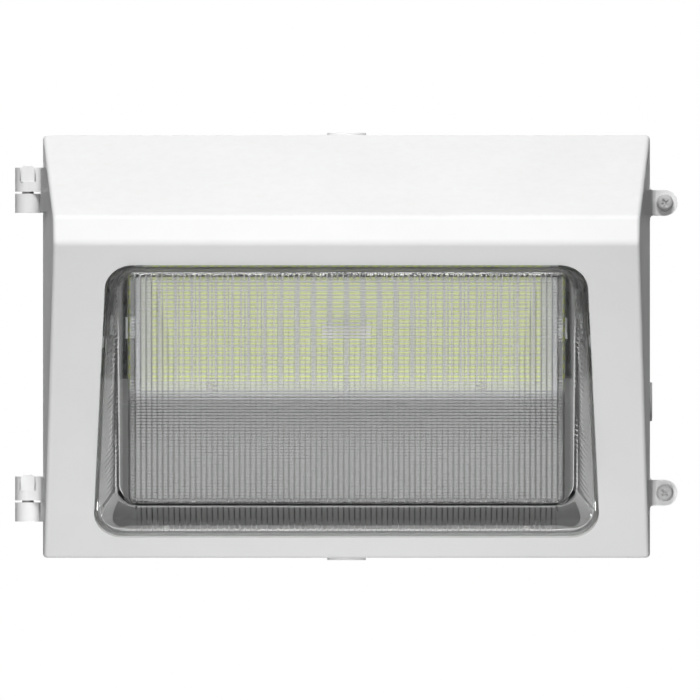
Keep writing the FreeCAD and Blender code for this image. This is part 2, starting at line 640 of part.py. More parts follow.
def board_sheet(half, low_z, high_z, low, high):
    """Flat sheet of the light engine with its screw holes and lead window."""
    sheet = block(-half, half, low, high, low_z, high_z, PLATE_THICK)
    tools = [wire_window(low - 1, high + 1)]
    for x, z in board_screw_points():
        tools.append(rod(at(BACK, x, z), BOARD_SCREW + SOFT_FIT, low - 1, high + 1))
    return sheet.cut(Part.makeCompound(tools))


def led_board():
    return board_sheet(BOARD_HALF, BOARD_LOW, BOARD_HIGH, BOARD_FACE - BOARD_THICK, BOARD_FACE)


def thermal_pad():
    return board_sheet(BOARD_HALF - 1, BOARD_LOW + 1, BOARD_HIGH - 1, PLATE_FRONT,
                       PLATE_FRONT + PAD_THICK)


def led_plate():
    return board_sheet(PLATE_HALF, PLATE_LOW, PLATE_HIGH, PLATE_BACK, PLATE_FRONT)


def led_connector():
    """Board connector with two rows of contacts."""
    face = BOARD_FACE + CONNECTOR_THICK
    half_x, half_z = CONNECTOR_LENGTH / 2, CONNECTOR_HEIGHT / 2
    body = slab(rectangle(half_x, half_z, 0, BOARD_MIDDLE), 0.8, BACK, BOARD_FACE, face)
    pitch = CONNECTOR_LENGTH / (CONNECTOR_PINS + 1)
    pockets = []
    for pin in range(CONNECTOR_PINS):
        x = (pin - (CONNECTOR_PINS - 1) / 2) * pitch
        for z in (-half_z / 2, half_z / 2):
            pocket = rectangle(pitch / 3, half_z / 4, x, BOARD_MIDDLE + z)
            pockets.append(slab(pocket, 0, BACK, face - 1, face + 1))
    return body.cut(Part.makeCompound(pockets))


def plate_bracket(side):
    """Sheet bracket: foot on the housing, leg to the front, tab behind the LED plate."""
    leg_x = PLATE_HALF + BRACKET_OUT
    low, high = BRACKET_TAB_LOW, BRACKET_TAB_HIGH
    leg = [(-FOOT_SEAT, low - BRACKET_FLARE), (-FOOT_SEAT, high + BRACKET_FLARE),
           (-PLATE_BACK, high), (-PLATE_BACK, low)]
    sheet = slab(leg, 0, SECTION, leg_x - BRACKET_THICK, leg_x)
    foot = block(leg_x - BRACKET_THICK, leg_x + BRACKET_FOOT, FOOT_SEAT,
                 FOOT_SEAT + BRACKET_THICK, low - BRACKET_FLARE, high + BRACKET_FLARE)
    tab = block(PLATE_HALF - BRACKET_LAP, leg_x, PLATE_BACK - BRACKET_THICK, PLATE_BACK, low, high)
    shape = fused(sheet, foot, tab)
    for x, z in bracket_screw_points():
        if x > 0:
            shape = shape.cut(rod(at(BACK, x, z), SMALL_SCREW + SOFT_FIT, 0, HOUSING_DEPTH))
    return shape if side > 0 else shape.mirror(Vector(), Vector(1, 0, 0))


def small_screw(place, seat, length, radius=SMALL_SCREW, head=SMALL_HEAD):
    """Pan-head fixing screw, its head on a seat at a height of the frame."""
    shank = rod(place, radius, seat - length, seat)
    return fused(shank, rod(place, head, seat, seat + SMALL_HEAD_HEIGHT))


def screws_at(points, seat):
    return Part.makeCompound([small_screw(at(BACK, x, z), seat, SMALL_LENGTH) for x, z in points])


def board_screws():
    """Small screws through board, pad and plate into the cover's upper lip."""
    length = BOARD_FACE - PLATE_BACK + 2 * COVER_THICK
    screws = [small_screw(at(BACK, x, z), BOARD_FACE, length, BOARD_SCREW, BOARD_SCREW_HEAD)
              for x, z in board_screw_points()]
    return Part.makeCompound(screws)


def bent_sheet(line, thick):
    """Closed outline of a sheet in front of the wall that follows a line down its front."""
    (head_y, head_z), (foot_y, foot_z) = line[0], line[-1]
    closed = line + [(foot_y + thick, foot_z), (head_y + thick, head_z)]
    behind = inset_polygon(closed, [thick] * (len(line) - 1) + [0, 0, 0])[:len(line)]
    return line + behind[::-1]


def gear_cover():
    """Reflector sheet from behind the LED plate down to two posts of the housing."""
    half = SIDE - COVER_SIDE
    front = [(-PLATE_BACK, PLATE_LOW + COVER_LAP), (-PLATE_BACK, PLATE_LOW - COVER_BEND),
             (-COVER_FOOT_DEPTH - COVER_THICK, COVER_SLOPE_FOOT),
             (-COVER_FOOT_DEPTH - COVER_THICK, COVER_FOOT)]
    sheet = slab(bent_sheet(front, COVER_THICK), COVER_RADII, SECTION, -half, half)
    holes = [rod(at(BACK, x, z), SMALL_SCREW + SOFT_FIT, 0, HOUSING_DEPTH)
             for x, z in cover_post_points()]
    holes += [rod(at(BACK, x, z), BOARD_SCREW + SEATED, HOUSING_DEPTH, BOARD_FACE)
              for x, z in board_screw_points()]
    return sheet.cut(Part.makeCompound(holes))


# ---- driver, surge protector, terminals and leads

def driver():
    """Potted driver with a fixing ear at each end."""
    half = DRIVER_LENGTH / 2
    body = slab(rectangle(half, DRIVER_WIDTH / 2, 0, DRIVER_Z), DRIVER_ROUND, BACK, FOOT_SEAT,
                FOOT_SEAT + DRIVER_HEIGHT)
    ears = slab(rectangle(half + DRIVER_EAR, DRIVER_EAR, 0, DRIVER_Z), DRIVER_ROUND, BACK,
                FOOT_SEAT, FOOT_SEAT + DRIVER_EAR_THICK)
    shape = fused(body, ears)
    for x, z in driver_screw_points():
        shape = shape.cut(rod(at(BACK, x, z), SMALL_SCREW + SOFT_FIT, 0, HOUSING_DEPTH))
    return shape


def tabbed_block(x, z, length, width, height):
    """Block on the back wall with a fixing tab at each end."""
    body = slab(rectangle(length / 2, width / 2, x, z), 1.5, BACK, FOOT_SEAT, FOOT_SEAT + height)
    tabs = slab(rectangle(length / 2 + EAR_TAB, EAR_TAB / 2 + 1, x, z), 1.5, BACK, FOOT_SEAT,
                FOOT_SEAT + EAR_TAB_THICK)
    shape = fused(body, tabs)
    for side in (-1, 1):
        hole = at(BACK, x + side * (length + EAR_TAB) / 2, z)
        shape = shape.cut(rod(hole, SMALL_SCREW + SOFT_FIT, 0, HOUSING_DEPTH))
    return shape


def surge_protector():
    return tabbed_block(SURGE_X, GEAR_Z, SURGE_LENGTH, SURGE_WIDTH, SURGE_HEIGHT)


def terminal_x(pole):
    return TERMINAL_X + (pole - (TERMINAL_POLES - 1) / 2) * TERMINAL_PITCH


def terminal_block():
    """Supply terminals: barriers between poles and a well for each clamp screw."""
    length = TERMINAL_POLES * TERMINAL_PITCH
    shape = tabbed_block(TERMINAL_X, GEAR_Z, length, TERMINAL_WIDTH, TERMINAL_HEIGHT)
    face = FOOT_SEAT + TERMINAL_HEIGHT
    for pole in range(TERMINAL_POLES):
        well = rod(at(BACK, terminal_x(pole), GEAR_Z), TERMINAL_SCREW + 1,
                   face - TERMINAL_WELL, face + 1)
        shape = shape.cut(well)
    return shape


def terminal_screws():
    floor = FOOT_SEAT + TERMINAL_HEIGHT - TERMINAL_WELL
    head = floor + TERMINAL_WELL * 0.7
    screws = []
    for pole in range(TERMINAL_POLES):
        frame = at(BACK, terminal_x(pole), GEAR_Z)
        slot = slab(rectangle(TERMINAL_SCREW, TERMINAL_SLOT / 2), 0, frame,
                    head - TERMINAL_SLOT, head + 1)
        screws.append(rod(frame, TERMINAL_SCREW, floor, head).cut(slot))
    return Part.makeCompound(screws)


def lead(points):
    """Round lead of straight runs joined by tangent bends, through (x, depth, z) points."""
    path = [Vector(x, -depth, z) for x, depth, z in points]
    pieces, start = [], path[0]
    for before, corner, after in zip(path, path[1:], path[2:]):
        back = (before - corner).normalize()
        ahead = (after - corner).normalize()
        half = back.getAngle(ahead) / 2
        run = LEAD_BEND / tan(half)
        arrive = corner + back * run
        centre = corner + (back + ahead).normalize() * (LEAD_BEND / sin(half))
        disc = Part.Face(Part.Wire(Part.Circle(arrive, back, LEAD_RADIUS).toShape()))
        pieces.append(Part.makeCylinder(LEAD_RADIUS, (arrive - start).Length, start, -back))
        pieces.append(disc.revolve(centre, ahead.cross(back), 180 - degrees(2 * half)))
        start = corner + ahead * run
    last = path[-1] - start
    pieces.append(Part.makeCylinder(LEAD_RADIUS, last.Length, start, last))
    return fused(*pieces)


def supply_leads():
    """Line and neutral from the terminals to the driver's left end."""
    end_x = -DRIVER_LENGTH / 2
    base = GEAR_Z - TERMINAL_WIDTH / 2
    leads = []
    for pole in (0, 1):
        x, depth = terminal_x(pole), FOOT_SEAT + LEAD_DEPTH * (pole + 1)
        z = base - LEAD_BEND - LEAD_DEPTH
        leads.append(lead([(x, depth, base), (x, depth, z), (end_x, depth, z)]))
    return Part.makeCompound(leads)


def output_leads():
    """Plus and minus from the driver's top to the board connector's back."""
    leads = []
    for x in (-LEAD_APART / 2, LEAD_APART / 2):
        depth, top = FOOT_SEAT + DRIVER_HEIGHT / 2, DRIVER_Z + DRIVER_WIDTH / 2
        leads.append(lead([(x, depth, top), (x, depth, BOARD_MIDDLE), (x, BOARD_FACE, BOARD_MIDDLE)]))
    return Part.makeCompound(leads)


def ground_lead():
    """Ground lead from the terminals to the lug under the housing's ground screw."""
    x, depth = terminal_x(TERMINAL_POLES - 1), LUG_DEPTH
    start = GEAR_Z + TERMINAL_WIDTH / 2
    end = GROUND_Z - LUG_LENGTH
    turn = (start + end) / 2
    path = [(x, depth, start), (x, depth, turn), (GROUND_X, depth, turn), (GROUND_X, depth, end)]
    return lead(path)


def ground_lug():
    """Ring lug: an eye under the ground screw and a barrel crimped on the lead."""
    frame = at(BACK, GROUND_X, GROUND_Z)
    eye = rod(frame, SMALL_HEAD + SEAT_GAP, FOOT_SEAT, FOOT_SEAT + LUG_THICK)
    barrel_axis = Placement(Vector(GROUND_X, -LUG_DEPTH, GROUND_Z), Rotation())
    barrel = rod(barrel_axis, LUG_BARREL, -LUG_LENGTH, -SMALL_HEAD)
    hole = rod(frame, SMALL_SCREW + SOFT_FIT, FOOT_SEAT - 1, FOOT_SEAT + LUG_THICK + 1)
    return fused(eye, barrel).cut(hole)


# ---- door and what rides on it

def door_sweep(side, z_low, z_high, foot, foot_depth):
    """Arm out to a hinge or screw, swept forward onto the door's side wall."""
    reach = min(face_depth(z_low), face_depth(z_high)) - ARM_MARGIN
    inner = side * (door_half_width(reach) - WALL / 2)
    plan = [(inner, -DOOR_BACK), (inner, -reach), (side * door_half_width(reach), -reach),
            (side * (SIDE + SWEEP), -foot_depth - SWEEP), (side * foot, -foot_depth),
            (side * foot, -DOOR_BACK)]
    return slab(plan, [0, 0, 0, SWEEP_ROUND, 0, 0], PLAN, z_low, z_high)


def knuckle_pad(z_low, z_high):
    """The same sweep beside the housing knuckle, clear of it."""
    reach = min(face_depth(z_low), face_depth(z_high)) - ARM_MARGIN
    inner = WALL / 2 - door_half_width(reach)
    start = HOUSING_DEPTH + KNUCKLE + SWEEP
    plan = [(inner, -start + SWEEP), (inner, -reach), (-door_half_width(reach), -reach),
            (-SIDE - SWEEP, -start - SWEEP), (-door_half_width(start), -start + SWEEP)]
    return slab(plan, 0, PLAN, z_low, z_high)


def door_knuckle(top):
    """Door half of a hinge: a knuckle open below for the pin, on an arm from the side wall."""
    low = top - DOOR_KNUCKLE
    axis = Placement(Vector(HINGE_X, -HOUSING_DEPTH, 0), Rotation())
    front = HOUSING_DEPTH + KNUCKLE
    arm = door_sweep(-1, low, top, -HINGE_X, front)
    pad = knuckle_pad(low - KNUCKLE_PAD, low)
    bore = rod(axis, PIN_RADIUS + PIN_RUN, low - 1, top - KNUCKLE_ROOF)
    half = CLIP_TONGUE / 2 + TONGUE_SLIT
    pocket = slab(rectangle(half, TONGUE_DROP, HINGE_X, top), 0, BACK,
                  front - TONGUE_THICK - SEAT_GAP, front + 1)
    cuts = [bore, pocket]
    for side in (-1, 1):
        x = HINGE_X + side * (CLIP_TONGUE + TONGUE_SLIT) / 2
        cuts.append(slab(rectangle(TONGUE_SLIT / 2, TONGUE_DROP, x, top), 0, BACK,
                         front - SLIT_DEPTH, front + 1))
    middle = pin_groove_height(top)
    cuts.append(slab(rectangle(TONGUE_NOSE, TONGUE_NOSE / 2 + SEAT_GAP, HINGE_X, middle), 0, BACK,
                     HOUSING_DEPTH, front))
    return arm.fuse([rod(axis, KNUCKLE, low, top), pad]), cuts


def hinge_clip(top):
    """Anti-lift tongue in the knuckle's pocket; its catch sits in the pin's groove."""
    front = HOUSING_DEPTH + KNUCKLE - SEAT_GAP
    outline = rectangle(CLIP_TONGUE / 2, (TONGUE_DROP + TONGUE_RISE) / 2, HINGE_X,
                        top + (TONGUE_RISE - TONGUE_DROP) / 2)
    tongue = slab(outline, [0, 0, 1.6, 1.6], BACK, front - TONGUE_THICK, front)
    middle = pin_groove_height(top)
    catch = slab(rectangle(TONGUE_NOSE - SEAT_GAP, TONGUE_NOSE / 2, HINGE_X, middle), 0, BACK,
                 HOUSING_DEPTH + PIN_RADIUS - 1 + SEAT_GAP, front)
    return fused(tongue, catch)


def door_ear(z):
    """Ear with the captive screw's hole, flared into the side wall."""
    inner, tip = door_half_width(EAR_FRONT) - WALL / 2, EAR_X + EAR_RADIUS
    low, high = z - EAR_RADIUS, z + EAR_RADIUS
    outline = [(inner, low - EAR_FLARE - 1), (SIDE, low - EAR_FLARE - 1), (SIDE, low), (tip, low),
               (tip, high), (SIDE, high), (SIDE, high + EAR_FLARE + 1), (inner, high + EAR_FLARE + 1)]
    end = EAR_RADIUS - SEATED
    radii = [0, 0, EAR_FLARE, end, end, EAR_FLARE, 0, 0]
    plate = slab(outline, radii, BACK, DOOR_BACK, EAR_FRONT)
    sweep = door_sweep(1, z - EAR_RADIUS, z + EAR_RADIUS, EAR_X - SCREW_HEAD, EAR_FRONT)
    hole = rod(at(BACK, EAR_X, z), SCREW_RADIUS + SCREW_RUN, DOOR_BACK - 1, EAR_FRONT + 1)
    return plate.fuse(sweep), hole


def clip_points():
    """Lens clips round the opening, as (x, y, outward angle) in the face's frame."""
    (_, foot), (right, _), (right_top, top), _ = opening_outline(0)[0]
    out = LENS_FLANGE + CLIP_BOSS + SOFT_FIT
    points = [(share * right_top, top + out, 90) for share in CLIPS_ACROSS]
    for share in CLIPS_DOWN:
        y = top + (foot - top) * share
        x = right_top + (right - right_top) * share + out
        points += [(-x, y, 180), (x, y, 0)]
    return points


def hook_tabs():
    """Cast hooks that hold the foot of the lens flange."""
    foot = opening_outline(LENS_FLANGE)[0][0][1] - SOFT_FIT
    back, seat = -FLANGE_BACK - HOOK_LIP, -FLANGE_BACK - SOFT_FIT
    tabs = []
    for x in (-SIDE / 2, 0, SIDE / 2):
        left, right = x - HOOK_WIDTH / 2, x + HOOK_WIDTH / 2
        root = [(left, foot - HOOK_THICK), (right, foot - HOOK_THICK), (right, foot), (left, foot)]
        lip = [(left, foot - HOOK_THICK), (right, foot - HOOK_THICK),
               (right, foot + HOOK_LIP), (left, foot + HOOK_LIP)]
        tabs.append(slab(root, 0, FACE, back, -WALL / 2).fuse(slab(lip, 0, FACE, back, seat)))
    return tabs


def door_frame():
    outer = door_body(0)
    side_edges = [edge for edge in outer.Edges if on_side_wall(edge)]
    outer = outer.makeFillet(SIDE_ROUND, side_edges)
    band = rim_ring(0, RIM_WIDTH, DOOR_BACK, DOOR_BACK + DOOR_RIM_DEPTH).common(outer)
    shell = outer.cut(door_body(WALL, WALL))
    solids, holes = [band], []
    points, radii = opening_outline(0)
    holes.append(slab(points, radii, FACE, -2 * WALL, WALL))
    holes.append(rim_ring(GROOVE_INSET, GROOVE_INSET + GROOVE_WIDTH, HOUSING_DEPTH,
                          DOOR_BACK + GROOVE_DEPTH))
    for x, y, _ in clip_points():
        solids.append(rod(at(FACE, x, y), CLIP_BOSS, -FLANGE_BACK, -WALL / 2))
        holes.append(rod(at(FACE, x, y), CLIP_SCREW + SEATED, -FLANGE_BACK - 1, -WALL))
    for top in HINGES.values():
        solid, cuts = door_knuckle(top)
        solids.append(solid)
        holes += cuts
    for z in EARS.values():
        solid, hole = door_ear(z)
        solids.append(solid)
        holes.append(hole)
    solids += [tab.common(door_body(WALL / 2)) for tab in hook_tabs()]
    shape = fused(shell, *solids)
    for hole in holes:
        shape = shape.cut(hole)
    return shape


def on_side_wall(edge):
    """True for the edges where hood, brow, face and foot meet a side wall."""
    ends = [vertex.Point for vertex in edge.Vertexes]
    on_wall = all(abs(abs(p.x) - door_half_width(-p.y)) < 0.01 for p in ends)
    on_rim = all(abs(p.y + DOOR_BACK) < 0.01 for p in ends)
    return on_wall and not on_rim and abs(ends[0].x - ends[-1].x) < SIDE


def door_gasket():
    floor = DOOR_BACK + GROOVE_DEPTH
    return rim_ring(GROOVE_INSET + SOFT_FIT, GROOVE_INSET + GROOVE_WIDTH - SOFT_FIT,
                    floor - GASKET_HEIGHT, floor)


def lens_solid(inset):
    """Lens filled solid, moved in by a wall: a straight neck, then drafted walls to the front."""
    points, radii = opening_outline(-LENS_GAP - inset)
    back = -FLANGE_BACK - (inset and WALL)
    neck = slab(points, radii, FACE, back, 0)
    wires = [rounded_outline(points, radii, FACE)]
    size = LENS_EDGE_INSIDE if inset else 1.0
    for turn in (90, 60, 30, 0):
        outline, rounds = lens_front_outline(inset, size * (1 - sin(radians(turn))))
        behind = size * LENS_EDGE_DEPTH * (1 - cos(radians(turn)))
        wires.append(rounded_outline(outline, rounds, lifted(LENS_FRONT, -inset - behind)))
    return neck.fuse(Part.makeLoft(wires, True, True))


def flutes():
    """Upright prism ribs standing inside the lens front."""
    count = round(2 * lens_front_outline(0)[0][2][0] / FLUTE_PITCH)
    start = -count * FLUTE_PITCH / 2
    line = [(start, 0.2)]
    for rib in range(count):
        line.append((start + (rib + 0.5) * FLUTE_PITCH, -FLUTE_HEIGHT))
        line.append((start + (rib + 1) * FLUTE_PITCH, 0))
    line[-1] = (-start, 0.2)
    frame = lifted(LENS_FRONT, -LENS_WALL).multiply(Placement(Vector(), Rotation(Vector(1, 0, 0), 90)))
    return slab(line, 0, frame, LENS_WALL + LENS_EDGE_TOP, LENS_LENGTH - LENS_WALL - LENS_EDGE_FOLD)


def lens():
    flange_points, flange_radii = opening_outline(LENS_FLANGE)
    flange = slab(flange_points, flange_radii, FACE, -FLANGE_BACK, -FLANGE_FRONT)
    body = lens_solid(0).fuse(flange).cut(lens_solid(LENS_WALL))
    return fused(body, flutes())


def lens_gasket():
    outer, outer_round = opening_outline(LENS_FLANGE - SOFT_FIT)
    inner, inner_round = opening_outline(SOFT_FIT)
    return ring(outer, outer_round, inner, inner_round, FACE, -FLANGE_FRONT, -WALL)


def clip_frames():
    """Frames on the clip bosses, z pointing into the door, x away from the lens."""
    frames = []
    for x, y, angle in clip_points():
        turn = Placement(Vector(), Rotation(Vector(0, 0, 1), angle))
        flip = Placement(Vector(), Rotation(Vector(1, 0, 0), 180))
        frames.append(at(FACE, x, y).multiply(turn).multiply(flip))
    return frames


def lens_clips():
    clips = []
    for frame in clip_frames():
        outline = rectangle(CLIP_LENGTH / 2, CLIP_WIDTH / 2, CLIP_BOSS - CLIP_LENGTH / 2)
        plate = slab(outline, 1.5, frame, FLANGE_BACK, FLANGE_BACK + CLIP_THICK)
        hole = rod(frame, CLIP_SCREW + SOFT_FIT, FLANGE_BACK - 1, FLANGE_BACK + CLIP_THICK + 1)
        clips.append(plate.cut(hole))
    return Part.makeCompound(clips)


def lens_clip_screws():
    seat = FLANGE_BACK + CLIP_THICK
    length = seat - WALL - SEAT_GAP
    return Part.makeCompound([small_screw(frame, seat, length) for frame in clip_frames()])


def door_screw(z):
    """Captive cross-recess screw, its head on the door's ear and its thread in the housing's."""
    frame = at(BACK, EAR_X, z)
    seat = EAR_FRONT + SEAT_GAP
    ring_back = DOOR_BACK - SCREW_TRAVEL - RING_THICK - SEAT_GAP
    tip = ring_back - THREAD_LENGTH
    crown = seat + SCREW_HEAD_HEIGHT
    profile = [(0, tip), (THREAD_CORE, tip), (THREAD_CORE, ring_back), (SCREW_RADIUS, ring_back),
               (SCREW_RADIUS, seat), (SCREW_HEAD, seat), (SCREW_HEAD, seat + SCREW_HEAD_HEIGHT / 3),
               (SCREW_HEAD * 0.6, crown), (0, crown)]
    outline = Part.makePolygon([Vector(EAR_X + r, -depth, z) for r, depth in profile + profile[:1]])
    body = Part.Face(outline).revolve(Vector(EAR_X, 0, z), Vector(0, 1, 0), 360)
    arm, half = CROSS_LENGTH / 2, CROSS_WIDTH / 2
    recess = [slab(rectangle(arm, half), 0, frame, crown - CROSS_DEPTH, crown + 1),
              slab(rectangle(half, arm), 0, frame, crown - CROSS_DEPTH, crown + 1)]
    return body.cut(fused(*recess))


def screw_ring(z):
    """Ring on the screw's neck that keeps the screw in the door's ear."""
    back = DOOR_BACK - SCREW_TRAVEL - RING_THICK - SEAT_GAP
    frame = at(BACK, EAR_X, z)
    hole = rod(frame, SCREW_RADIUS + SEATED, back - 1, back + RING_THICK + 1)
    return rod(frame, RING_RADIUS, back, back + RING_THICK).cut(hole)


# ---- all nodes

def nodes():
    made = {
        "back_housing": back_housing(),
        "plug_seals": plug_seals(),
        "plate_bracket_left": plate_bracket(-1),
        "plate_bracket_right": plate_bracket(1),
        "bracket_screws": screws_at(bracket_screw_points(), FOOT_SEAT + BRACKET_THICK),
        "led_plate": led_plate(),
        "thermal_pad": thermal_pad(),
        "led_board": led_board(),
        "led_packages": led_packages(),
        "led_connector": led_connector(),
        "board_screws": board_screws(),
        "gear_cover": gear_cover(),
        "cover_screws": screws_at(cover_post_points(), COVER_FOOT_DEPTH + COVER_THICK),
        "driver": driver(),
        "driver_screws": screws_at(driver_screw_points(), FOOT_SEAT + DRIVER_EAR_THICK),
        "surge_protector": surge_protector(),
        "terminal_block": terminal_block(),
        "terminal_screws": terminal_screws(),
        "tab_screws": screws_at(tab_screw_points(), FOOT_SEAT + EAR_TAB_THICK),
        "ground_screw": screws_at([(GROUND_X, GROUND_Z)], FOOT_SEAT + LUG_THICK),
        "supply_leads": supply_leads(),
        "output_leads": output_leads(),
        "ground_lead": ground_lead(),
        "ground_lug": ground_lug(),
        "door_frame": door_frame(),
        "door_gasket": door_gasket(),
        "lens": lens(),
        "lens_gasket": lens_gasket(),
        "lens_clips": lens_clips(),
        "lens_clip_screws": lens_clip_screws(),
    }
    for name, frame in entry_frames().items():
        made["conduit_plug_" + name] = conduit_plug(frame)
    for name, top in HINGES.items():
        made["hinge_pin_" + name] = hinge_pin(top)
        made["hinge_clip_" + name] = hinge_clip(top)
    for name, z in EARS.items():
        made["door_screw_" + name] = door_screw(z)
        made["screw_ring_" + name] = screw_ring(z)
    return made


os.makedirs("parts", exist_ok=True)
for node, shape in nodes().items():
    shape.exportStep("parts/" + node + ".step")
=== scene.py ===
"""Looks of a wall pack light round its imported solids.

White powder-coated castings, a pressed glass lens with crossed ribs, and the board of yellow LEDs,
the wiring gear and the screws behind it. Metres, in the frame of the solids: X to the right, Z up,
the wall at Y = 0 and the lens towards -Y.
"""
import json
from math import atan2, cos, degrees, hypot, pi, radians, sin, tan

import bmesh
import bpy
from mathutils import Matrix, Vector


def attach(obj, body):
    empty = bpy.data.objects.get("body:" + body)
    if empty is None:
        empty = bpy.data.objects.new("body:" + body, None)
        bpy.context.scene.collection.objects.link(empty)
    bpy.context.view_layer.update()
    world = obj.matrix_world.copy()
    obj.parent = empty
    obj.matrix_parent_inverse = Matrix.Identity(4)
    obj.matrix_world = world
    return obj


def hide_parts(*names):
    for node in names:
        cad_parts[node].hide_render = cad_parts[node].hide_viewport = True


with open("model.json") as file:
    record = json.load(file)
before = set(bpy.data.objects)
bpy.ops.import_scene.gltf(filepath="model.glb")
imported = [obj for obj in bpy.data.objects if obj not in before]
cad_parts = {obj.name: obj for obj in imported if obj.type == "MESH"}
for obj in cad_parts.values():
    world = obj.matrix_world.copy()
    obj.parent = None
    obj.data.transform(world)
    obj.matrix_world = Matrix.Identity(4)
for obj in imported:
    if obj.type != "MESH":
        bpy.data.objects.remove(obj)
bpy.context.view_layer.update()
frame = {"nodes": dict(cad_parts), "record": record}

# ---- places shared with the solids
SIDE = 0.181              # half of the outside width
TOP = 0.126               # half of the outside height
NOSE = 0.184              # wall to the deepest line of the door
CREASE = 0.0613           # height of that line
FACE_RUN = 0.110          # the sloping face runs back this far to its foot
FACE_LENGTH = hypot(FACE_RUN, CREASE + TOP)
FACE_TILT = degrees(atan2(FACE_RUN, CREASE + TOP))
OPENING_ROUND = 0.017

# ---- lens
LENS_GAP = 0.0012         # lens inside its opening
LENS_WALL = 0.003
FLANGE_FRONT = 0.0045     # flange behind the sloping face
FLANGE_BACK = 0.0075
FLANGE_REACH = 0.004      # flange beyond the opening
LENS_TOP = CREASE - 0.0158
LENS_RUN = 0.037          # lens front leans back this far down to the fold
LENS_FALL = LENS_TOP - 0.0296 + TOP
LENS_LENGTH = hypot(LENS_RUN, LENS_FALL)
LENS_TILT = degrees(atan2(LENS_RUN, LENS_FALL))
LENS_ROUND = 0.013        # corners behind the rounded edge
LENS_CORNER = 0.0015      # corners of the flat front panel
LENS_EDGES = (0.0045, 0.0087, 0.003, 0.0087)   # rounded edge outside at fold, right, top, left
INNER_EDGES = (0.0018, 0.0057, 0.0008, 0.0057) # and inside the glass
LENS_EDGE_DEPTH, INNER_EDGE_DEPTH = 0.006, 0.0035
EDGE_TURN = radians(42)   # the round ends in the slope of the wall behind it
EDGE_STEPS = 6
TOP_PAINTED_SHADE = (0.35, 0.7, 0.85, 0.3, 0.1, 0.7, 0.97)     # painted shade on the rounded edge along the top, front to back
# painted shade on the rounded edge at the left and right, front to back
SIDE_PAINTED_SHADE = (0.75, 0.0, 0.0, 0.0, 0.0, 0.0, 0.1)
WALL_SHARES = (0.15, 0.3, 0.45, 0.6, 0.75, 0.88)       # rings from the edge back to the opening
# painted shade on the rounded edge at the fold, front to back
FOLD_PAINTED_SHADE = (0.7, 0.4, 0.0, 0.0, 0.0, 0.0, 0.1)
UPRIGHT_PITCH = 0.00325   # ribs up and down, inside the glass
UPRIGHT_HEIGHT = 0.00016
UPRIGHT_AT_TOP = 0.12     # share of that height at the lens top
CROSS_PITCH = 0.00189     # ribs across, outside on the front
CROSS_HEIGHT = 0.00009
RIB_COUNT = 79
RIB_FIELD = RIB_COUNT * UPRIGHT_PITCH / 2
SIDE_RIB_PITCH = 0.0036   # ribs inside the side walls
SIDE_RIB_HEIGHT = 0.0005
RIB_STEPS = (0.0, 0.07, 0.16, 0.32, 0.68, 0.84, 0.93)   # lines across one rib, from its valley
LENS_SHADE = 0.072        # from the lens top down to where the ribs stand over the gear cover; below it the painted shade in the valleys grows
CROSS_PAINTED_SHADE, UPRIGHT_PAINTED_SHADE, FIELD_SIDE_PAINTED_SHADE = 0.85, 0.5, 0.9   # painted shade in the rib valleys: across, upright, and upright near the sides of the rib field

# ---- LED field
BOARD_FACE = 0.120        # wall to the face of the board
BOARD_MIDDLE = CREASE - 0.0523         # height of the board's middle
LED_PITCH_X, LED_PITCH_Z = 0.00484, 0.00549
LED_WIDTH, LED_HEIGHT, LED_THICK = 0.0035, 0.0028, 0.0007
CONNECTOR = (0.028, 0.007, 0.0034)     # across, up, out
CONNECTOR_PINS = 9
PIN_WELL = 0.0008         # half width of a contact's well
PIN_ROW = 0.0011          # rows above and below the middle

# ---- screws: head radius, head height, shank radius, recess arm, its half width, its depth
SMALL_HEADS = (0.0039, 0.0024, 0.002, 0.0021, 0.00045, 0.0014)
BOARD_HEADS = (0.0029, 0.0024, 0.0015, 0.0016, 0.0004, 0.0013)
DOOR_HEADS = (0.00505, 0.0037, 0.0025, 0.0026, 0.0007, 0.0011)
DOOR_THREAD = 0.006       # threaded end of a door screw
THREAD_PITCH = 0.0008


def front_frame(depth, height, tilt=0.0):
    """Frame in front of the wall: x to the right, y up the surface, z out to the front."""
    return Matrix.Translation((0, -depth, height)) @ Matrix.Rotation(radians(90 + tilt), 4, "X")


FACE = front_frame(NOSE, CREASE, FACE_TILT)
LENS_FRONT = front_frame(NOSE - 0.001, LENS_TOP, LENS_TILT)


# ---- shader building

def add(tree, kind, links=None, **settings):
    """New node; links gives a value or another node's socket for each named or numbered input."""
    node = tree.nodes.new(kind)
    for name, value in settings.items():
        setattr(node, name, value)
    for key, value in (links or {}).items():
        if isinstance(value, bpy.types.NodeSocket):
            tree.links.new(value, node.inputs[key])
        else:
            node.inputs[key].default_value = value
    return node


def math(tree, operation, *values, clamp=False):
    node = add(tree, "ShaderNodeMath", dict(enumerate(values)), operation=operation, use_clamp=clamp)
    return node.outputs[0]


def noise(tree, where, scale, detail=2.0, roughness=0.5):
    return add(tree, "ShaderNodeTexNoise", {"Vector": where, "Scale": scale, "Detail": detail,
                                            "Roughness": roughness}).outputs["Fac"]


def spread(tree, value, low, high, to_low=0.0, to_high=1.0):
    """Value stretched from one range to another, held inside it."""
    node = add(tree, "ShaderNodeMapRange", {"Value": value, "From Min": low, "From Max": high,
                                            "To Min": to_low, "To Max": to_high})
    return node.outputs["Result"]


def mix(tree, factor, first, second):
    node = add(tree, "ShaderNodeMix", data_type="RGBA")
    for socket, value in ((node.inputs["Factor"], factor), (node.inputs[6], first),
                          (node.inputs[7], second)):
        if isinstance(value, bpy.types.NodeSocket):
            tree.links.new(value, socket)
        else:
            socket.default_value = value
    return node.outputs[2]


def grey(value, warm=0.0):
    return (value * (1 + warm), value, value * (1 - warm), 1)


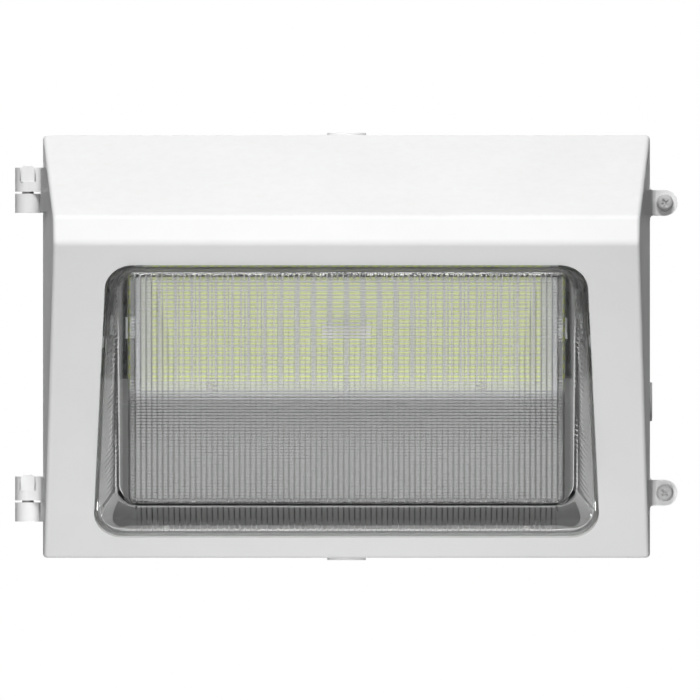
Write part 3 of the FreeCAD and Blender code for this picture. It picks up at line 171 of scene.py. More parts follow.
def group_tree(name, inputs, outputs):
    """Empty shader group with float inputs and outputs; returns it with its two end nodes."""
    tree = bpy.data.node_groups.new(name, "ShaderNodeTree")
    for socket, value in inputs.items():
        made = tree.interface.new_socket(name=socket, in_out="INPUT", socket_type="NodeSocketFloat")
        made.default_value = value
    for socket in outputs:
        tree.interface.new_socket(name=socket, in_out="OUTPUT", socket_type="NodeSocketFloat")
    return tree, tree.nodes.new("NodeGroupInput"), tree.nodes.new("NodeGroupOutput")


def object_place(tree):
    return tree.nodes.new("ShaderNodeTexCoord").outputs["Object"]


def powder_coat_group():
    """Orange peel and slight unevenness of a sprayed and baked coat."""
    tree, given, out = group_tree("powder_coat", {"Peel size": 900.0, "Patch size": 14.0},
                                  ["Height", "Patches"])
    place = object_place(tree)
    peel = noise(tree, place, given.outputs["Peel size"], 2.0, 0.55)
    grit = noise(tree, place, math(tree, "MULTIPLY", given.outputs["Peel size"], 3.1), 1.0)
    height = math(tree, "MULTIPLY_ADD", grit, 0.3, peel)
    patches = spread(tree, noise(tree, place, given.outputs["Patch size"], 4.0, 0.6), 0.35, 0.65)
    tree.links.new(height, out.inputs["Height"])
    tree.links.new(patches, out.inputs["Patches"])
    return tree


def settled_dust_group():
    """Thin dust on faces that look up, broken up by a coarse noise."""
    tree, given, out = group_tree("settled_dust", {"Amount": 0.3, "Speck size": 160.0}, ["Mask"])
    normal = tree.nodes.new("ShaderNodeNewGeometry").outputs["Normal"]
    facing = spread(tree, add(tree, "ShaderNodeSeparateXYZ", {0: normal}).outputs["Z"], 0.2, 1.0)
    specks = spread(tree, noise(tree, object_place(tree), given.outputs["Speck size"], 5.0, 0.7),
                    0.42, 0.75)
    mask = math(tree, "MULTIPLY", math(tree, "MULTIPLY", facing, specks), given.outputs["Amount"])
    tree.links.new(mask, out.inputs["Mask"])
    return tree


def drawn_grain_group():
    """Fine parallel lines of rolled, drawn or brushed metal, along the axis with the least scale."""
    tree, given, out = group_tree("drawn_grain", {"Across X": 900.0, "Across Y": 900.0,
                                                  "Across Z": 900.0}, ["Height", "Streaks"])
    scale = add(tree, "ShaderNodeCombineXYZ", {i: given.outputs[i] for i in range(3)})
    stretched = add(tree, "ShaderNodeVectorMath", {0: object_place(tree), 1: scale.outputs[0]},
                    operation="MULTIPLY").outputs[0]
    lines = noise(tree, stretched, 1.0, 3.0, 0.6)
    tree.links.new(lines, out.inputs["Height"])
    tree.links.new(spread(tree, lines, 0.3, 0.7), out.inputs["Streaks"])
    return tree


def moulded_grain_group():
    """Spark-eroded texture of a moulded plastic skin."""
    tree, given, out = group_tree("moulded_grain", {"Grain size": 1800.0}, ["Height", "Tone"])
    place = object_place(tree)
    cells = add(tree, "ShaderNodeTexVoronoi", {"Vector": place, "Scale": given.outputs["Grain size"]})
    tone = spread(tree, noise(tree, place, 60.0, 3.0), 0.3, 0.7)
    tree.links.new(cells.outputs["Distance"], out.inputs["Height"])
    tree.links.new(tone, out.inputs["Tone"])
    return tree


POWDER_COAT = powder_coat_group()
SETTLED_DUST = settled_dust_group()
DRAWN_GRAIN = drawn_grain_group()
MOULDED_GRAIN = moulded_grain_group()


def use(tree, group, **values):
    """Place a shader group in a material with its own values."""
    node = add(tree, "ShaderNodeGroup", node_tree=group)
    for name, value in values.items():
        node.inputs[name.replace("_", " ")].default_value = value
    return node


def finish(name, **constants):
    """New material with its Principled shader's plain values set; returns both and the tree."""
    material = bpy.data.materials.new(name)
    material.use_nodes = True
    tree = material.node_tree
    shader = tree.nodes["Principled BSDF"]
    for key, value in constants.items():
        shader.inputs[key.replace("_", " ")].default_value = value
    return material, tree, shader


def bump(tree, shader, height, strength, distance):
    node = add(tree, "ShaderNodeBump", {"Height": height, "Strength": strength, "Distance": distance})
    tree.links.new(node.outputs[0], shader.inputs["Normal"])


def powder_coated(name, shade, rough, peel=0.25, dust=0.25, warm=0.0):
    """Baked white coat on metal."""
    material, tree, shader = finish(name, Specular_IOR_Level=0.1)
    coat = use(tree, POWDER_COAT)
    dusty = use(tree, SETTLED_DUST, Amount=dust)
    paint = mix(tree, coat.outputs["Patches"], grey(shade, warm), grey(shade * 0.975, warm))
    tree.links.new(mix(tree, dusty.outputs["Mask"], paint, grey(shade * 0.86, 0.02)),
                   shader.inputs["Base Color"])
    tree.links.new(spread(tree, coat.outputs["Patches"], 0, 1, rough, rough + 0.06),
                   shader.inputs["Roughness"])
    bump(tree, shader, coat.outputs["Height"], peel, 0.00004)
    return material


def metal(name, colour, rough, lines=(900, 900, 40), strength=0.25):
    """Bare metal with the lines of its rolling or turning."""
    material, tree, shader = finish(name, Metallic=1.0)
    grain = use(tree, DRAWN_GRAIN, Across_X=lines[0], Across_Y=lines[1], Across_Z=lines[2])
    darker = tuple(c * 0.82 for c in colour[:3]) + (1,)
    tree.links.new(mix(tree, grain.outputs["Streaks"], darker, colour), shader.inputs["Base Color"])
    tree.links.new(spread(tree, grain.outputs["Streaks"], 0, 1, rough + 0.1, rough),
                   shader.inputs["Roughness"])
    bump(tree, shader, grain.outputs["Height"], strength, 0.00003)
    return material


def moulded(name, colour, rough, grain=1800.0, strength=0.2, **constants):
    """Moulded or extruded plastic."""
    material, tree, shader = finish(name, **constants)
    skin = use(tree, MOULDED_GRAIN, Grain_size=grain)
    darker = tuple(c * 0.88 for c in colour[:3]) + (1,)
    tree.links.new(mix(tree, skin.outputs["Tone"], darker, colour), shader.inputs["Base Color"])
    tree.links.new(spread(tree, skin.outputs["Tone"], 0, 1, rough + 0.08, rough),
                   shader.inputs["Roughness"])
    bump(tree, shader, skin.outputs["Height"], strength, 0.00003)
    return material


def zinc_plate(name):
    """Zinc-plated sheet with its faint spangle."""
    material, tree, shader = finish(name, Metallic=1.0)
    spangle = add(tree, "ShaderNodeTexVoronoi", {"Vector": object_place(tree), "Scale": 260.0})
    tone = add(tree, "ShaderNodeSeparateColor", {0: spangle.outputs["Color"]}).outputs[0]
    grain = use(tree, DRAWN_GRAIN, Across_X=60.0, Across_Y=700.0, Across_Z=700.0)
    tree.links.new(mix(tree, tone, grey(0.30, -0.02), grey(0.40, -0.01)), shader.inputs["Base Color"])
    tree.links.new(spread(tree, tone, 0, 1, 0.42, 0.6), shader.inputs["Roughness"])
    bump(tree, shader, grain.outputs["Height"], 0.15, 0.00002)
    return material


def solder_mask(name):
    """White solder mask over copper: faint raised strings between the LED pads, darker there, with a
    yellow tint painted as a reflection of the phosphor.
    """
    material, tree, shader = finish(name, Specular_IOR_Level=0.5)
    place = add(tree, "ShaderNodeSeparateXYZ", {0: object_place(tree)})
    across = math(tree, "DIVIDE", place.outputs["X"], LED_PITCH_X)
    up = math(tree, "DIVIDE", math(tree, "SUBTRACT", place.outputs["Z"], BOARD_MIDDLE), LED_PITCH_Z)
    row, column = (math(tree, "ABSOLUTE", math(tree, "SUBTRACT", math(tree, "FRACT", share), 0.5))
                   for share in (math(tree, "ADD", up, 0.5), across))
    copper = math(tree, "MULTIPLY", spread(tree, row, 0.30, 0.27), spread(tree, column, 0.03, 0.06))
    coat = use(tree, POWDER_COAT, Peel_size=400.0)
    bare = mix(tree, coat.outputs["Patches"], (0.48, 0.50, 0.46, 1), (0.52, 0.54, 0.50, 1))
    # painted reflection: over the copper strings the mask is tinted yellow as if lit by the phosphor of
    # the LEDs
    tree.links.new(mix(tree, copper, bare, (0.46, 0.49, 0.36, 1)), shader.inputs["Base Color"])
    tree.links.new(spread(tree, coat.outputs["Patches"], 0, 1, 0.28, 0.4), shader.inputs["Roughness"])
    bump(tree, shader, copper, 0.5, 0.00005)
    return material


def led_body(name):
    """Pale frame round a yellow phosphor window under clear silicone."""
    material, tree, shader = finish(name, Coat_Roughness=0.05, Specular_IOR_Level=0.4)
    window = add(tree, "ShaderNodeAttribute", attribute_name="window").outputs["Fac"]
    grains = noise(tree, object_place(tree), 5200.0, 2.0)
    yellow = mix(tree, grains, (0.68, 0.80, 0.004, 1), (0.80, 0.92, 0.01, 1))
    frame_white = mix(tree, grains, (0.58, 0.62, 0.26, 1), (0.64, 0.68, 0.32, 1))
    tree.links.new(mix(tree, window, frame_white, yellow), shader.inputs["Base Color"])
    tree.links.new(spread(tree, window, 0, 1, 0.5, 0.3), shader.inputs["Roughness"])
    tree.links.new(spread(tree, window, 0, 1, 0.0, 0.5), shader.inputs["Coat Weight"])
    bump(tree, shader, grains, 0.2, 0.00003)
    return material


def ribbed_glass(name):
    """Clear pressed glass with painted shade in its rib valleys and round its edges; lamps and soft
    light pass straight through to what is inside.
    """
    material, tree, glass = finish(name, Transmission_Weight=1.0, Roughness=0.02, IOR=1.49)
    haze = noise(tree, object_place(tree), 35.0, 3.0)
    clean = mix(tree, haze, (0.965, 0.975, 0.97, 1), (0.985, 0.99, 0.985, 1))
    groove = add(tree, "ShaderNodeAttribute", attribute_name="groove").outputs["Fac"]
    # painted shade: the glass turns near black where the painted shade attribute is high
    tree.links.new(mix(tree, groove, clean, (0.01, 0.01, 0.01, 1)), glass.inputs["Base Color"])
    ray = tree.nodes.new("ShaderNodeLightPath")
    through = math(tree, "MAXIMUM", ray.outputs["Is Shadow Ray"], ray.outputs["Is Diffuse Ray"])
    clear = add(tree, "ShaderNodeBsdfTransparent", {"Color": (0.90, 0.905, 0.90, 1)})
    both = add(tree, "ShaderNodeMixShader", {0: through, 1: glass.outputs[0], 2: clear.outputs[0]})
    tree.links.new(both.outputs[0], tree.nodes["Material Output"].inputs["Surface"])
    return material


FINISHES = {
    "white_paint": powder_coated("white_powder_coat", 0.89, 0.58),
    "plug_paint": powder_coated("plug_powder_coat", 0.87, 0.6, peel=0.35),
    # painted shade: the white reflector cover is given a dark grey, standing for the shade it sits in
    # behind the lens
    "reflector_white": powder_coated("reflector_painted_shade_grey", 0.25, 0.5, peel=0.12, dust=0.1),
    "silicone": moulded("white_silicone", (0.74, 0.74, 0.72, 1), 0.55, strength=0.1),
    "steel": metal("plain_steel", (0.40, 0.40, 0.39, 1), 0.42, (700, 60, 700)),
    "bracket_metal": zinc_plate("zinc_plated_sheet"),
    "plate_aluminium": metal("mill_aluminium", (0.36, 0.36, 0.375, 1), 0.6, (30, 900, 900)),
    "thermal_grey": moulded("thermal_pad_grey", (0.35, 0.37, 0.39, 1), 0.7),
    "board_mask": solder_mask("white_solder_mask"),
    "led_phosphor": led_body("led_package"),
    "connector_nylon": moulded("natural_nylon", (0.74, 0.74, 0.68, 1), 0.38, Subsurface_Weight=0.05),
    "ground_green": moulded("ground_green", (0.05, 0.30, 0.08, 1), 0.4),
    "tinned_copper": metal("tinned_copper", (0.74, 0.71, 0.66, 1), 0.32, (300, 300, 300)),
    "driver_case": metal("driver_case_aluminium", (0.66, 0.67, 0.68, 1), 0.36, (25, 900, 900)),
    "surge_case": moulded("surge_case_black", (0.035, 0.035, 0.04, 1), 0.45),
    "terminal_black": moulded("terminal_black", (0.03, 0.03, 0.03, 1), 0.4),
    "lead_red": moulded("red_insulation", (0.45, 0.02, 0.015, 1), 0.35, strength=0.08),
    "lead_black": moulded("black_insulation", (0.02, 0.02, 0.02, 1), 0.35, strength=0.08),
    "prismatic_glass": ribbed_glass("pressed_glass"),
}
SLOT_OF = {part["node"]: part["material_slot"] for part in frame["record"]["subparts"]}
for node, slot in SLOT_OF.items():
    for place in frame["nodes"][node].material_slots:
        place.material = FINISHES[slot]


# ---- making pieces

def piece(name, bm, body, replaced, material, smooth=True):
    """Turn a bmesh, in the frame of the solids, into a piece that stands for a node."""
    mesh = bpy.data.meshes.new(name)
    bm.to_mesh(mesh)
    bm.free()
    return dress(name, mesh, body, replaced, material, smooth)


def dress(name, mesh, body, replaced, material=None, smooth=True):
    if material:
        mesh.materials.clear()
        mesh.materials.append(material)
    if smooth:
        mesh.shade_smooth()
    made = bpy.data.objects.new(name, mesh)
    bpy.context.scene.collection.objects.link(made)
    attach(made, body)
    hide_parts(*replaced)
    return made


# ---- repeated shapes

def repeat_tree():
    """Geometry tree: one shape on every point, each turned about its own axis by chance."""
    tree = bpy.data.node_groups.new("repeat_on_seats", "GeometryNodeTree")
    for name, kind in (("Seats", "Geometry"), ("Shape", "Object"), ("Turn", "Vector"),
                       ("Twist", "Float"), ("Seed", "Int"), ("Finish", "Material")):
        tree.interface.new_socket(name=name, in_out="INPUT", socket_type="NodeSocket" + kind)
    tree.interface.new_socket(name="Pieces", in_out="OUTPUT", socket_type="NodeSocketGeometry")
    given = tree.nodes.new("NodeGroupInput").outputs
    shape = add(tree, "GeometryNodeObjectInfo", {"Object": given["Shape"]})
    placed = add(tree, "GeometryNodeInstanceOnPoints", {
        "Points": given["Seats"], "Instance": shape.outputs["Geometry"], "Rotation": given["Turn"]})
    chance = add(tree, "FunctionNodeRandomValue", {3: given["Twist"], "Seed": given["Seed"]})
    spin = add(tree, "ShaderNodeCombineXYZ", {2: chance.outputs[1]})
    turned = add(tree, "GeometryNodeRotateInstances", {0: placed.outputs[0],
                                                       "Rotation": spin.outputs[0]})
    whole = add(tree, "GeometryNodeRealizeInstances", {0: turned.outputs[0]})
    dressed = add(tree, "GeometryNodeSetMaterial", {0: whole.outputs[0], "Material": given["Finish"]})
    tree.links.new(dressed.outputs[0], tree.nodes.new("NodeGroupOutput").inputs[0])
    return tree


REPEAT = repeat_tree()


def spare_object(name, bm):
    """Helper object, removed again once its shape has been used."""
    mesh = bpy.data.meshes.new(name)
    bm.to_mesh(mesh)
    bm.free()
    made = bpy.data.objects.new(name, mesh)
    bpy.context.scene.collection.objects.link(made)
    return made


def repeat(name, shape, points, frame_turn, body, replaced, material, twist=0.0, seed=1):
    """Piece made of one shape repeated on points, standing for a node."""
    dots = bmesh.new()
    for point in points:
        dots.verts.new(point)
    pattern, seats_object = spare_object(name + "_pattern", shape), spare_object(name + "_seats", dots)
    modifier = seats_object.modifiers.new("repeat", "NODES")
    modifier.node_group = REPEAT
    values = {"Shape": pattern, "Turn": frame_turn.to_euler(), "Twist": twist, "Seed": seed,
              "Finish": material}
    for socket in REPEAT.interface.items_tree:
        if socket.name in values:
            modifier[socket.identifier] = values[socket.name]
    seats_object.update_tag()
    seen = seats_object.evaluated_get(bpy.context.evaluated_depsgraph_get())
    mesh = bpy.data.meshes.new_from_object(seen)
    mesh.name = name
    seats_object.modifiers.remove(modifier)
    for spare in (pattern, seats_object):
        bpy.data.objects.remove(spare)
    return dress(name, mesh, body, [replaced], smooth=False)


def solids_of(node, place):
    """Lowest and highest corners of a node's separate solids, measured in a frame."""
    bm = bmesh.new()
    bm.from_mesh(frame["nodes"][node].data)
    bmesh.ops.remove_doubles(bm, verts=bm.verts, dist=1e-6)
    bmesh.ops.transform(bm, matrix=place.inverted(), verts=bm.verts)
    left, found = set(bm.verts), []
    while left:
        edge_verts, corners = [left.pop()], []
        while edge_verts:
            vert = edge_verts.pop()
            corners.append(vert.co.copy())
            for edge in vert.link_edges:
                other = edge.other_vert(vert)
                if other in left:
                    left.remove(other)
                    edge_verts.append(other)
        found.append([tuple(round(pick(c[i] for c in corners), 7) for i in range(3))
                      for pick in (min, max)])
    bm.free()
    return sorted(found)


# ---- screws

# side of a pan head: shares of its radius and height
HEAD_LINE = ((1.0, 0.0), (1.0, 0.24), (0.965, 0.48), (0.88, 0.72), (0.75, 0.9), (0.6, 0.98))


def screw_shape(sizes, length, threaded=0.0, segments=20):
    """Pan-head screw: seat at height 0, head above it with a tapered cross recess, shank below."""
    head, high, shank, arm, half, depth = sizes
    bm = bmesh.new()
    start = -length + shank * 0.4       # top of the pointed tip
    lines = [(shank * 0.55, -length), (shank * 0.92, start)]
    if threaded:
        steps = int(threaded / THREAD_PITCH * 6)
        lines += [(None, start + threaded * i / steps) for i in range(1, steps)]
    lines += [(shank * 0.92, start + threaded), (shank, start + threaded), (shank, 0.0)]
    lines += [(head * r, high * z) for r, z in HEAD_LINE]
    rings = []
    for radius, z in lines:
        ring = []
        for i in range(segments):
            share = i / segments
            wave = abs(2 * ((z / THREAD_PITCH - share) % 1.0) - 1)
            r = radius if radius is not None else shank * (0.82 + 0.16 * wave)
            ring.append(bm.verts.new((r * cos(2 * pi * share), r * sin(2 * pi * share), z)))
        rings.append(ring)
    for low, up in zip(rings, rings[1:]):
        for i in range(segments):
            j = (i + 1) % segments
            bm.faces.new((low[i], low[j], up[j], up[i]))
    bm.faces.new(rings[0][::-1])
    crown, floor_height = lines[-1][1], lines[-1][1] - depth
    arms = [(arm, -half), (arm, half), (half, half), (half, arm), (-half, arm), (-half, half),
            (-arm, half), (-arm, -half), (-half, -half), (-half, -arm), (half, -arm), (half, -half)]
    top = [bm.verts.new((x, y, crown)) for x, y in arms]
    foot = [bm.verts.new((x * 0.45, y * 0.6, floor_height)) for x, y in arms]
    first = [(8 * i / segments, vert) for i, vert in enumerate(rings[-1])]
    second = sorted(((8 * ((atan2(v.co.y, v.co.x) / (2 * pi)) % 1.0), v) for v in top),
                    key=lambda pair: pair[0])
    zip_rings(bm, first, second)
    middle = bm.verts.new((0, 0, floor_height))
    for i in range(12):
        j = (i + 1) % 12
        bm.faces.new((top[i], top[j], foot[j], foot[i]))
        bm.faces.new((foot[i], foot[j], middle))
    bmesh.ops.recalc_face_normals(bm, faces=bm.faces)
    for face in bm.faces:
        face.smooth = True
    sharp = radians(32)
    for edge in bm.edges:
        edge.smooth = len(edge.link_faces) == 2 and edge.calc_face_angle(0) < sharp
    return bm


ZINC = powder_coated("dull_zinc", 0.55, 0.42, peel=0.1, dust=0.1)
BACK = front_frame(0, 0)
INTO_DOOR = FACE @ Matrix.Rotation(pi, 4, "X")


def screws(node, sizes, body, place=BACK, threaded=0.0, seed=1, finished=None):
    """Detailed screws on the seats of a node's plain ones."""
    solids = solids_of(node, place)
    head, high = sizes[0], sizes[1]
    middles = [place @ Vector(((lo[0] + hi[0]) / 2, (lo[1] + hi[1]) / 2, hi[2] - high))
               for lo, hi in solids]
    length = solids[0][1][2] - high - solids[0][0][2]
    repeat("detailed_" + node, screw_shape(sizes, length, threaded, 32 if threaded else 20), middles,
           place, body, node, finished or FINISHES[SLOT_OF[node]], 2 * pi, seed)


# ---- lens

def inset_corners(corners, amounts):
    """Counter-clockwise polygon with each side moved inwards by its amount."""
    sides = []
    for (x0, y0), (x1, y1), amount in zip(corners, corners[1:] + corners[:1], amounts):
        run = hypot(x1 - x0, y1 - y0)
        nx, ny = (y0 - y1) / run, (x1 - x0) / run
        sides.append((nx, ny, nx * x0 + ny * y0 + amount))
    moved = []
    for (a, b, c), (d, e, f) in zip(sides[-1:] + sides[:-1], sides):
        moved.append(((c * e - b * f) / (a * e - b * d), (a * f - c * d) / (a * e - b * d)))
    return moved


class Outline:
    """Four-sided outline with round corners: foot left, foot right, top right, top left.

    A place on it is a number: 0 to 1 along the first corner, 1 to 2 along the foot, and so on."""

    def __init__(self, corners, rounds):
        corners = [Vector(c) for c in corners]
        self.arcs = []
        for i, radius in enumerate(rounds):
            back = (corners[i - 1] - corners[i]).normalized()
            ahead = (corners[(i + 1) % 4] - corners[i]).normalized()
            half = back.angle(ahead) / 2
            run = radius / tan(half)
            centre = corners[i] + (back + ahead).normalized() * radius / sin(half)
            self.arcs.append((centre, corners[i] + back * run, corners[i] + ahead * run))

    def point(self, place):
        """Point at a place of the outline."""
        i, share = int(place) % 8, place - int(place)
        centre, start, end = self.arcs[i // 2]
        if i % 2:
            return end.lerp(self.arcs[(i // 2 + 1) % 4][1], share)
        turn = (start - centre).angle(end - centre) * share
        spoke = start - centre
        return centre + Vector((spoke.x * cos(turn) - spoke.y * sin(turn),
                                spoke.x * sin(turn) + spoke.y * cos(turn)))

    def outward(self, place):
        """Direction straight out of the outline at a place."""
        before = self.point(place - 0.001 if place >= 0.001 else 7.999)
        along = (self.point(place + 0.001) - before).normalized()
        return Vector((along.y, -along.x))

    def place_of(self, point):
        """Place of the outline's point nearest to a point."""
        found = []
        for i, (centre, start, end) in enumerate(self.arcs):
            whole = (start - centre).angle(end - centre)
            spoke, first = point - centre, start - centre
            turn = atan2(first.x * spoke.y - first.y * spoke.x, first.dot(spoke))
            share = min(max(turn / whole, 0), 1)
            found.append(((self.point(2 * i + share * 0.9999) - point).length, 2 * i + share * 0.9999))
            along = self.arcs[(i + 1) % 4][1] - end
            share = min(max((point - end).dot(along) / along.length_squared, 0), 1)
            found.append(((self.point(2 * i + 1 + share * 0.9999) - point).length,
                          2 * i + 1 + share * 0.9999))
        return min(found)[1]


def opening_outline(inset):
    """Opening of the door's sloping face, made smaller by an inset."""
    foot, top = 0.014 - FACE_LENGTH, -0.0153
    half_foot, half_top = SIDE - 0.0298, SIDE - 0.0384
    corners = [(-half_foot, foot), (half_foot, foot), (half_top, top), (-half_top, top)]
    return Outline(inset_corners(corners, [inset] * 4), [OPENING_ROUND - inset] * 4)


def front_outline(inset, edge=1.0, widths=LENS_EDGES):
    """Lens front: its flat panel, or at edge 0 the outline behind its rounded edge."""
    half_fold, half_top = SIDE - 0.0298 - 0.0142, SIDE - 0.0384 - 0.0056
    corners = [(-half_fold, -LENS_LENGTH), (half_fold, -LENS_LENGTH), (half_top, 0), (-half_top, 0)]
    corners = inset_corners(corners, [inset + edge * width for width in widths])
    corner = max(LENS_ROUND - inset + edge * (LENS_CORNER - LENS_ROUND), LENS_CORNER)
    return Outline(corners, [corner] * 4)


def rib(distance, pitch, height, crown=0.0):
    """Height of a rib with a narrow valley at every whole pitch; crown is its share of plain bow."""
    side = abs(2 * ((distance / pitch) % 1.0) - 1)
    return height * (1 - crown * side ** 2 - (1 - crown) * side ** 7)


def rib_lines(low, count, pitch):
    """Positions across a field of ribs, and which of them are valleys."""
    lines = [low + (i + step) * pitch for i in range(count) for step in RIB_STEPS]
    return lines + [low + count * pitch], set(range(0, count * len(RIB_STEPS) + 1, len(RIB_STEPS)))


def ribbed_panel(outline, place, xs, ys, sharp_x, sharp_y, relief, tone):
    """Sheet of grid lines with a relief and a painted shade from tone, cut to an outline; returns mesh
    and rim with its places.
    """
    bm = bmesh.new()
    groove = bm.verts.layers.float.new("groove")
    grid = [[bm.verts.new((x, y, relief(x, y))) for x in xs] for y in ys]
    for row in grid:
        for vert in row:
            # each point's painted shade, from tone
            vert[groove] = tone(vert.co.x, vert.co.y)
    for j in range(len(ys) - 1):
        for i in range(len(xs) - 1):
            bm.faces.new((grid[j][i], grid[j][i + 1], grid[j + 1][i + 1], grid[j + 1][i]))
    for j, row in enumerate(grid):
        for i, vert in enumerate(row):
            if j in sharp_y and i + 1 < len(row):
                bm.edges.get((vert, row[i + 1])).smooth = False
            if i in sharp_x and j + 1 < len(grid):
                bm.edges.get((vert, grid[j + 1][i])).smooth = False
    for i in range(8):
        for step in range(1 if i % 2 else 10):
            a = outline.point(i + (0 if i % 2 else step / 10))
            b = outline.point((i + 1 if i % 2 else i + (step + 1) / 10) - 1e-9)
            along = (b - a).normalized()
            bmesh.ops.bisect_plane(bm, geom=bm.verts[:] + bm.edges[:] + bm.faces[:], dist=1e-7,
                                   plane_co=(a.x, a.y, 0), plane_no=(along.y, -along.x, 0),
                                   clear_outer=True)
    rim = []
    edge = next(e for e in bm.edges if e.is_boundary)
    vert = edge.verts[0]
    while not rim or vert is not rim[0]:
        rim.append(vert)
        edge = next(e for e in vert.link_edges if e.is_boundary and e is not edge)
        vert = edge.other_vert(vert)
    placed = sorted(((outline.place_of(v.co.xy), v) for v in rim), key=lambda pair: pair[0])
    bmesh.ops.transform(bm, matrix=place, verts=bm.verts)
    return bm, placed


def zip_rings(bm, first, second):
    """Triangles between two rings of (place, vertex), both in order round the outline."""
    i = j = 0
    while i < len(first) or j < len(second):
        a, b = first[i % len(first)][1], second[j % len(second)][1]
        next_a = first[(i + 1) % len(first)][0] + 8 * ((i + 1) // len(first))
        next_b = second[(j + 1) % len(second)][0] + 8 * ((j + 1) // len(second))
        if j >= len(second) or (i < len(first) and next_a <= next_b):
            bm.faces.new((a, b, first[(i + 1) % len(first)][1]))
            i += 1
        else:
            bm.faces.new((a, b, second[(j + 1) % len(second)][1]))
            j += 1


def ring_places(outline, foot_lines):
    """Places round an outline: fixed upright lines along the foot, even steps elsewhere."""
    left, right = outline.point(1.0).x, outline.point(1.9999999).x
    places = [i / 10 for i in range(10)] + [1.0]
    places += [1 + (x - left) / (right - left) for x in foot_lines]
    side_steps = int(LENS_LENGTH / SIDE_RIB_PITCH) * 5
    for corner, steps in ((2, side_steps), (4, 24), (6, side_steps)):
        places += [corner + i / 10 for i in range(10)]
        places += [corner + 1 + i / steps for i in range(steps)]
    return places


